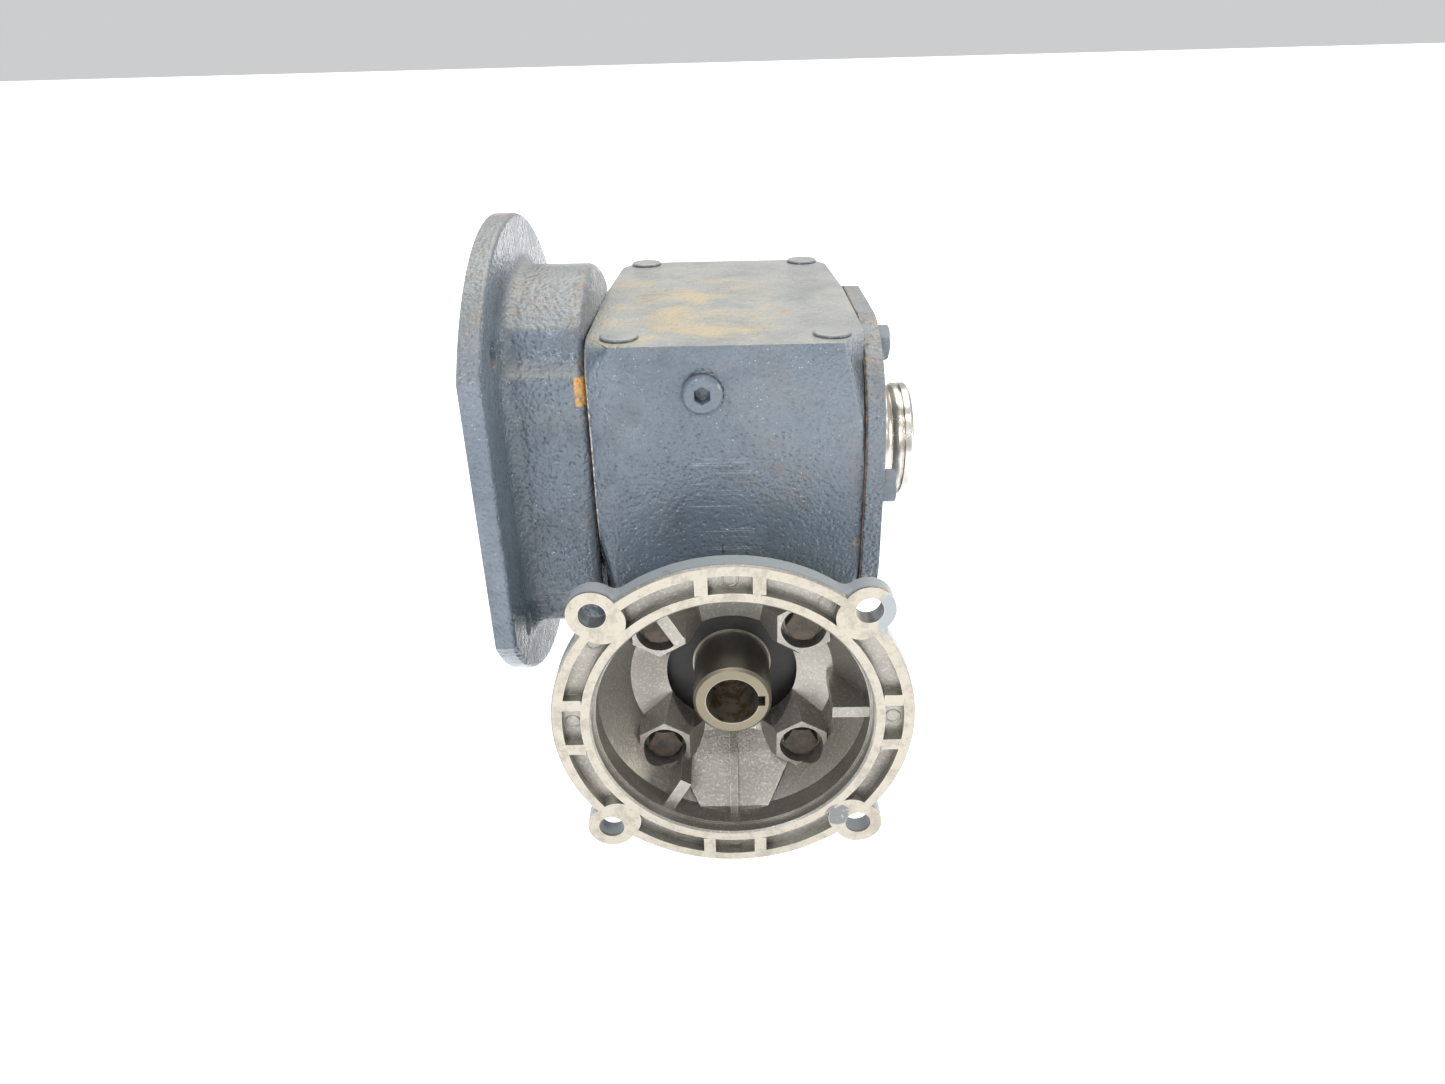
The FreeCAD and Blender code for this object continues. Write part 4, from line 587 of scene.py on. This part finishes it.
# how far each node's sharp edges are rounded, in millimetres
SOFT_EDGES = {
    "gear_case": 0.7, "bearing_cover": 1.0, "output_flange": 0.6, "motor_adapter": 0.45,
    "rear_cover": 0.8, "cover_bolts": 0.3, "adapter_bolts": 0.35, "rear_cover_bolts": 0.3,
    "foot_hole_plugs": 0.3, "oil_level_plug": 0.5, "drain_plug": 0.5, "input_quill_shaft": 0.2,
    "output_shaft": 0.15,
}


# ---------------------------------------------------------------- cast details

# a pin mark is a low ring: (radius, height) pairs, standing on the pocket floor
RING_SIDES = 40
PIN_RING = ((2.5, -0.1), (2.6, 0.22), (2.9, 0.30), (3.2, 0.22), (3.3, -0.1))
POCKET_FLOOR = -92.5
EJECTOR_SPOTS = ((0, -19.75), (65.25, -85), (-65.25, -85), (0, -150.25), (36.6, -31.0), (-53.9, -47.0))


def place_piece(name, mesh, material):
    """Link a new piece and let it ride on the housing."""
    piece = bpy.data.objects.new(name, mesh)
    bpy.context.scene.collection.objects.link(piece)
    mesh.materials.append(material)
    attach(piece, "housing")
    return piece


def lathe(outline):
    """Closed ring turned from (radius, height) pairs round +Z."""
    solid = bmesh.new()
    rings = []
    for radius, height in outline:
        rings.append([solid.verts.new((radius * MM * math.cos(2 * math.pi * i / RING_SIDES),
                                       radius * MM * math.sin(2 * math.pi * i / RING_SIDES), height * MM))
                      for i in range(RING_SIDES)])
    for lower, upper in zip(rings, rings[1:] + rings[:1]):
        for i in range(RING_SIDES):
            j = (i + 1) % RING_SIDES
            solid.faces.new((lower[i], lower[j], upper[j], upper[i]))
    bmesh.ops.recalc_face_normals(solid, faces=solid.faces)
    mesh = bpy.data.meshes.new("turned_detail")
    solid.to_mesh(mesh)
    solid.free()
    mesh.shade_smooth()
    return mesh


def ejector_marks(material):
    """Round ejector-pin marks on the floor of the adapter rim's pockets."""
    for number, (across, up) in enumerate(EJECTOR_SPOTS):
        mesh = lathe(PIN_RING)
        upright = Matrix.Rotation(math.radians(90), 4, "X")
        mesh.transform(Matrix.Translation((across * MM, POCKET_FLOOR * MM, up * MM)) @ upright)
        place_piece(f"ejector_mark_{number + 1}", mesh, material)


# ---------------------------------------------------------------- stage

# the unit stands on its adapter rim and the case's back edge, so the table leans to it
TABLE_TILT_Y = -0.0431
TABLE_TILT_X = -0.0034
RIM_THICK = 0.0083
FLOOR_DROP = 0.0006
TABLE_HALF = 6.0
TABLE_GLOW = 0.9


def build_floor():
    """Pale table under the unit, tilted to touch the two edges the unit rests on."""
    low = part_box("motor_adapter")[0]
    contact = Vector((0.0, low.y + RIM_THICK, low.z - FLOOR_DROP))
    normal = Vector((TABLE_TILT_X, TABLE_TILT_Y, 1.0)).normalized()
    mesh = bpy.data.meshes.new("table_top")
    grid = bmesh.new()
    bmesh.ops.create_grid(grid, x_segments=2, y_segments=2, size=TABLE_HALF)
    grid.to_mesh(mesh)
    grid.free()
    floor = bpy.data.objects.new("table_top", mesh)
    bpy.context.scene.collection.objects.link(floor)
    lean = Vector((0, 0, 1)).rotation_difference(normal).to_matrix().to_4x4()
    floor.matrix_world = Matrix.Translation(contact) @ lean
    g = Graph("pale_table")
    tone = g.mix(g.window(g.noise(3, 3), 0.3, 0.7), (0.86, 0.86, 0.86), (0.90, 0.90, 0.90))
    g.plug(g.shader.inputs["Emission Color"], (1.0, 1.0, 1.0, 1.0))
    g.plug(g.shader.inputs["Emission Strength"], TABLE_GLOW)
    mesh.materials.append(g.finish(tone, 0.0, 0.55, g.bump(g.noise(40, 2), 0.02, 0.001)))


def area_light(name, place, target, size, power, tint=(1.0, 1.0, 1.0), length=None):
    """A soft light aimed at a point: a square, or a strip if a length is given."""
    data = bpy.data.lights.new(name, "AREA")
    data.size = size
    if length is not None:
        data.shape = "RECTANGLE"
        data.size = length
        data.size_y = size
    data.energy = power
    data.color = tint
    lamp = bpy.data.objects.new(name, data)
    bpy.context.scene.collection.objects.link(lamp)
    lamp.location = place
    lamp.rotation_euler = (Vector(target) - Vector(place)).to_track_quat("-Z", "Y").to_euler()


def build_light():
    """Bright room: an even sky, a ceiling panel behind, and narrow tubes in front that make glints."""
    world = bpy.data.worlds.new("room")
    bpy.context.scene.world = world
    world.use_nodes = True
    background = world.node_tree.nodes["Background"]
    background.inputs["Color"].default_value = (0.97, 0.985, 1.0, 1.0)
    background.inputs["Strength"].default_value = 0.62
    area_light("ceiling", (0.15, 0.55, 1.3), (0, 0, 0), 1.2, 13, (1.0, 0.96, 0.90))
    area_light("front_tube", (-0.25, -1.5, 1.05), (0, 0, -0.05), 0.08, 5, (1.0, 0.99, 0.97), 1.3)
    area_light("high_tube", (0.2, -0.9, 1.6), (0, 0, -0.05), 0.08, 5, (1.0, 0.99, 0.97), 1.3)
    area_light("left_window", (-0.45, -1.35, 0.55), (-0.07, -0.04, 0), 0.25, 5.5, (0.86, 0.93, 1.0))
    area_light("right_window", (1.3, -0.35, 0.3), (0, 0, -0.05), 0.5, 5.5, (1.0, 0.92, 0.82))
    area_light("near_camera", (0.05, -1.0, 0.42), (0, 0, -0.07), 0.10, 0.4)
    bpy.context.scene.view_settings.view_transform = "Standard"


# the camera stands close, so its lens is wide; angles are in degrees
CAMERA_PLACE = (0.0001, -0.4099, 0.1577)
CAMERA_PITCH = 63.0
CAMERA_YAW = 0.476
CAMERA_ROLL = -1.32
CAMERA_LENS = 24.0


def build_camera():
    """Wide-angle view from the motor side, looking down at 27 degrees."""
    data = bpy.data.cameras.new("camera")
    data.lens = CAMERA_LENS
    data.sensor_width = 36.0
    data.clip_start = 0.01
    camera = bpy.data.objects.new("camera", data)
    bpy.context.scene.collection.objects.link(camera)
    turn = (Matrix.Rotation(math.radians(CAMERA_YAW), 4, "Z")
            @ Matrix.Rotation(math.radians(CAMERA_PITCH), 4, "X")
            @ Matrix.Rotation(math.radians(CAMERA_ROLL), 4, "Z"))
    camera.matrix_world = Matrix.Translation(Vector(CAMERA_PLACE)) @ turn
    bpy.context.scene.camera = camera


dress_nodes()
for soft_node, edge_radius in SOFT_EDGES.items():
    soften(soft_node, edge_radius * MM)
ejector_marks(NODES["motor_adapter"].data.materials[0])
build_floor()
build_light()
build_camera()
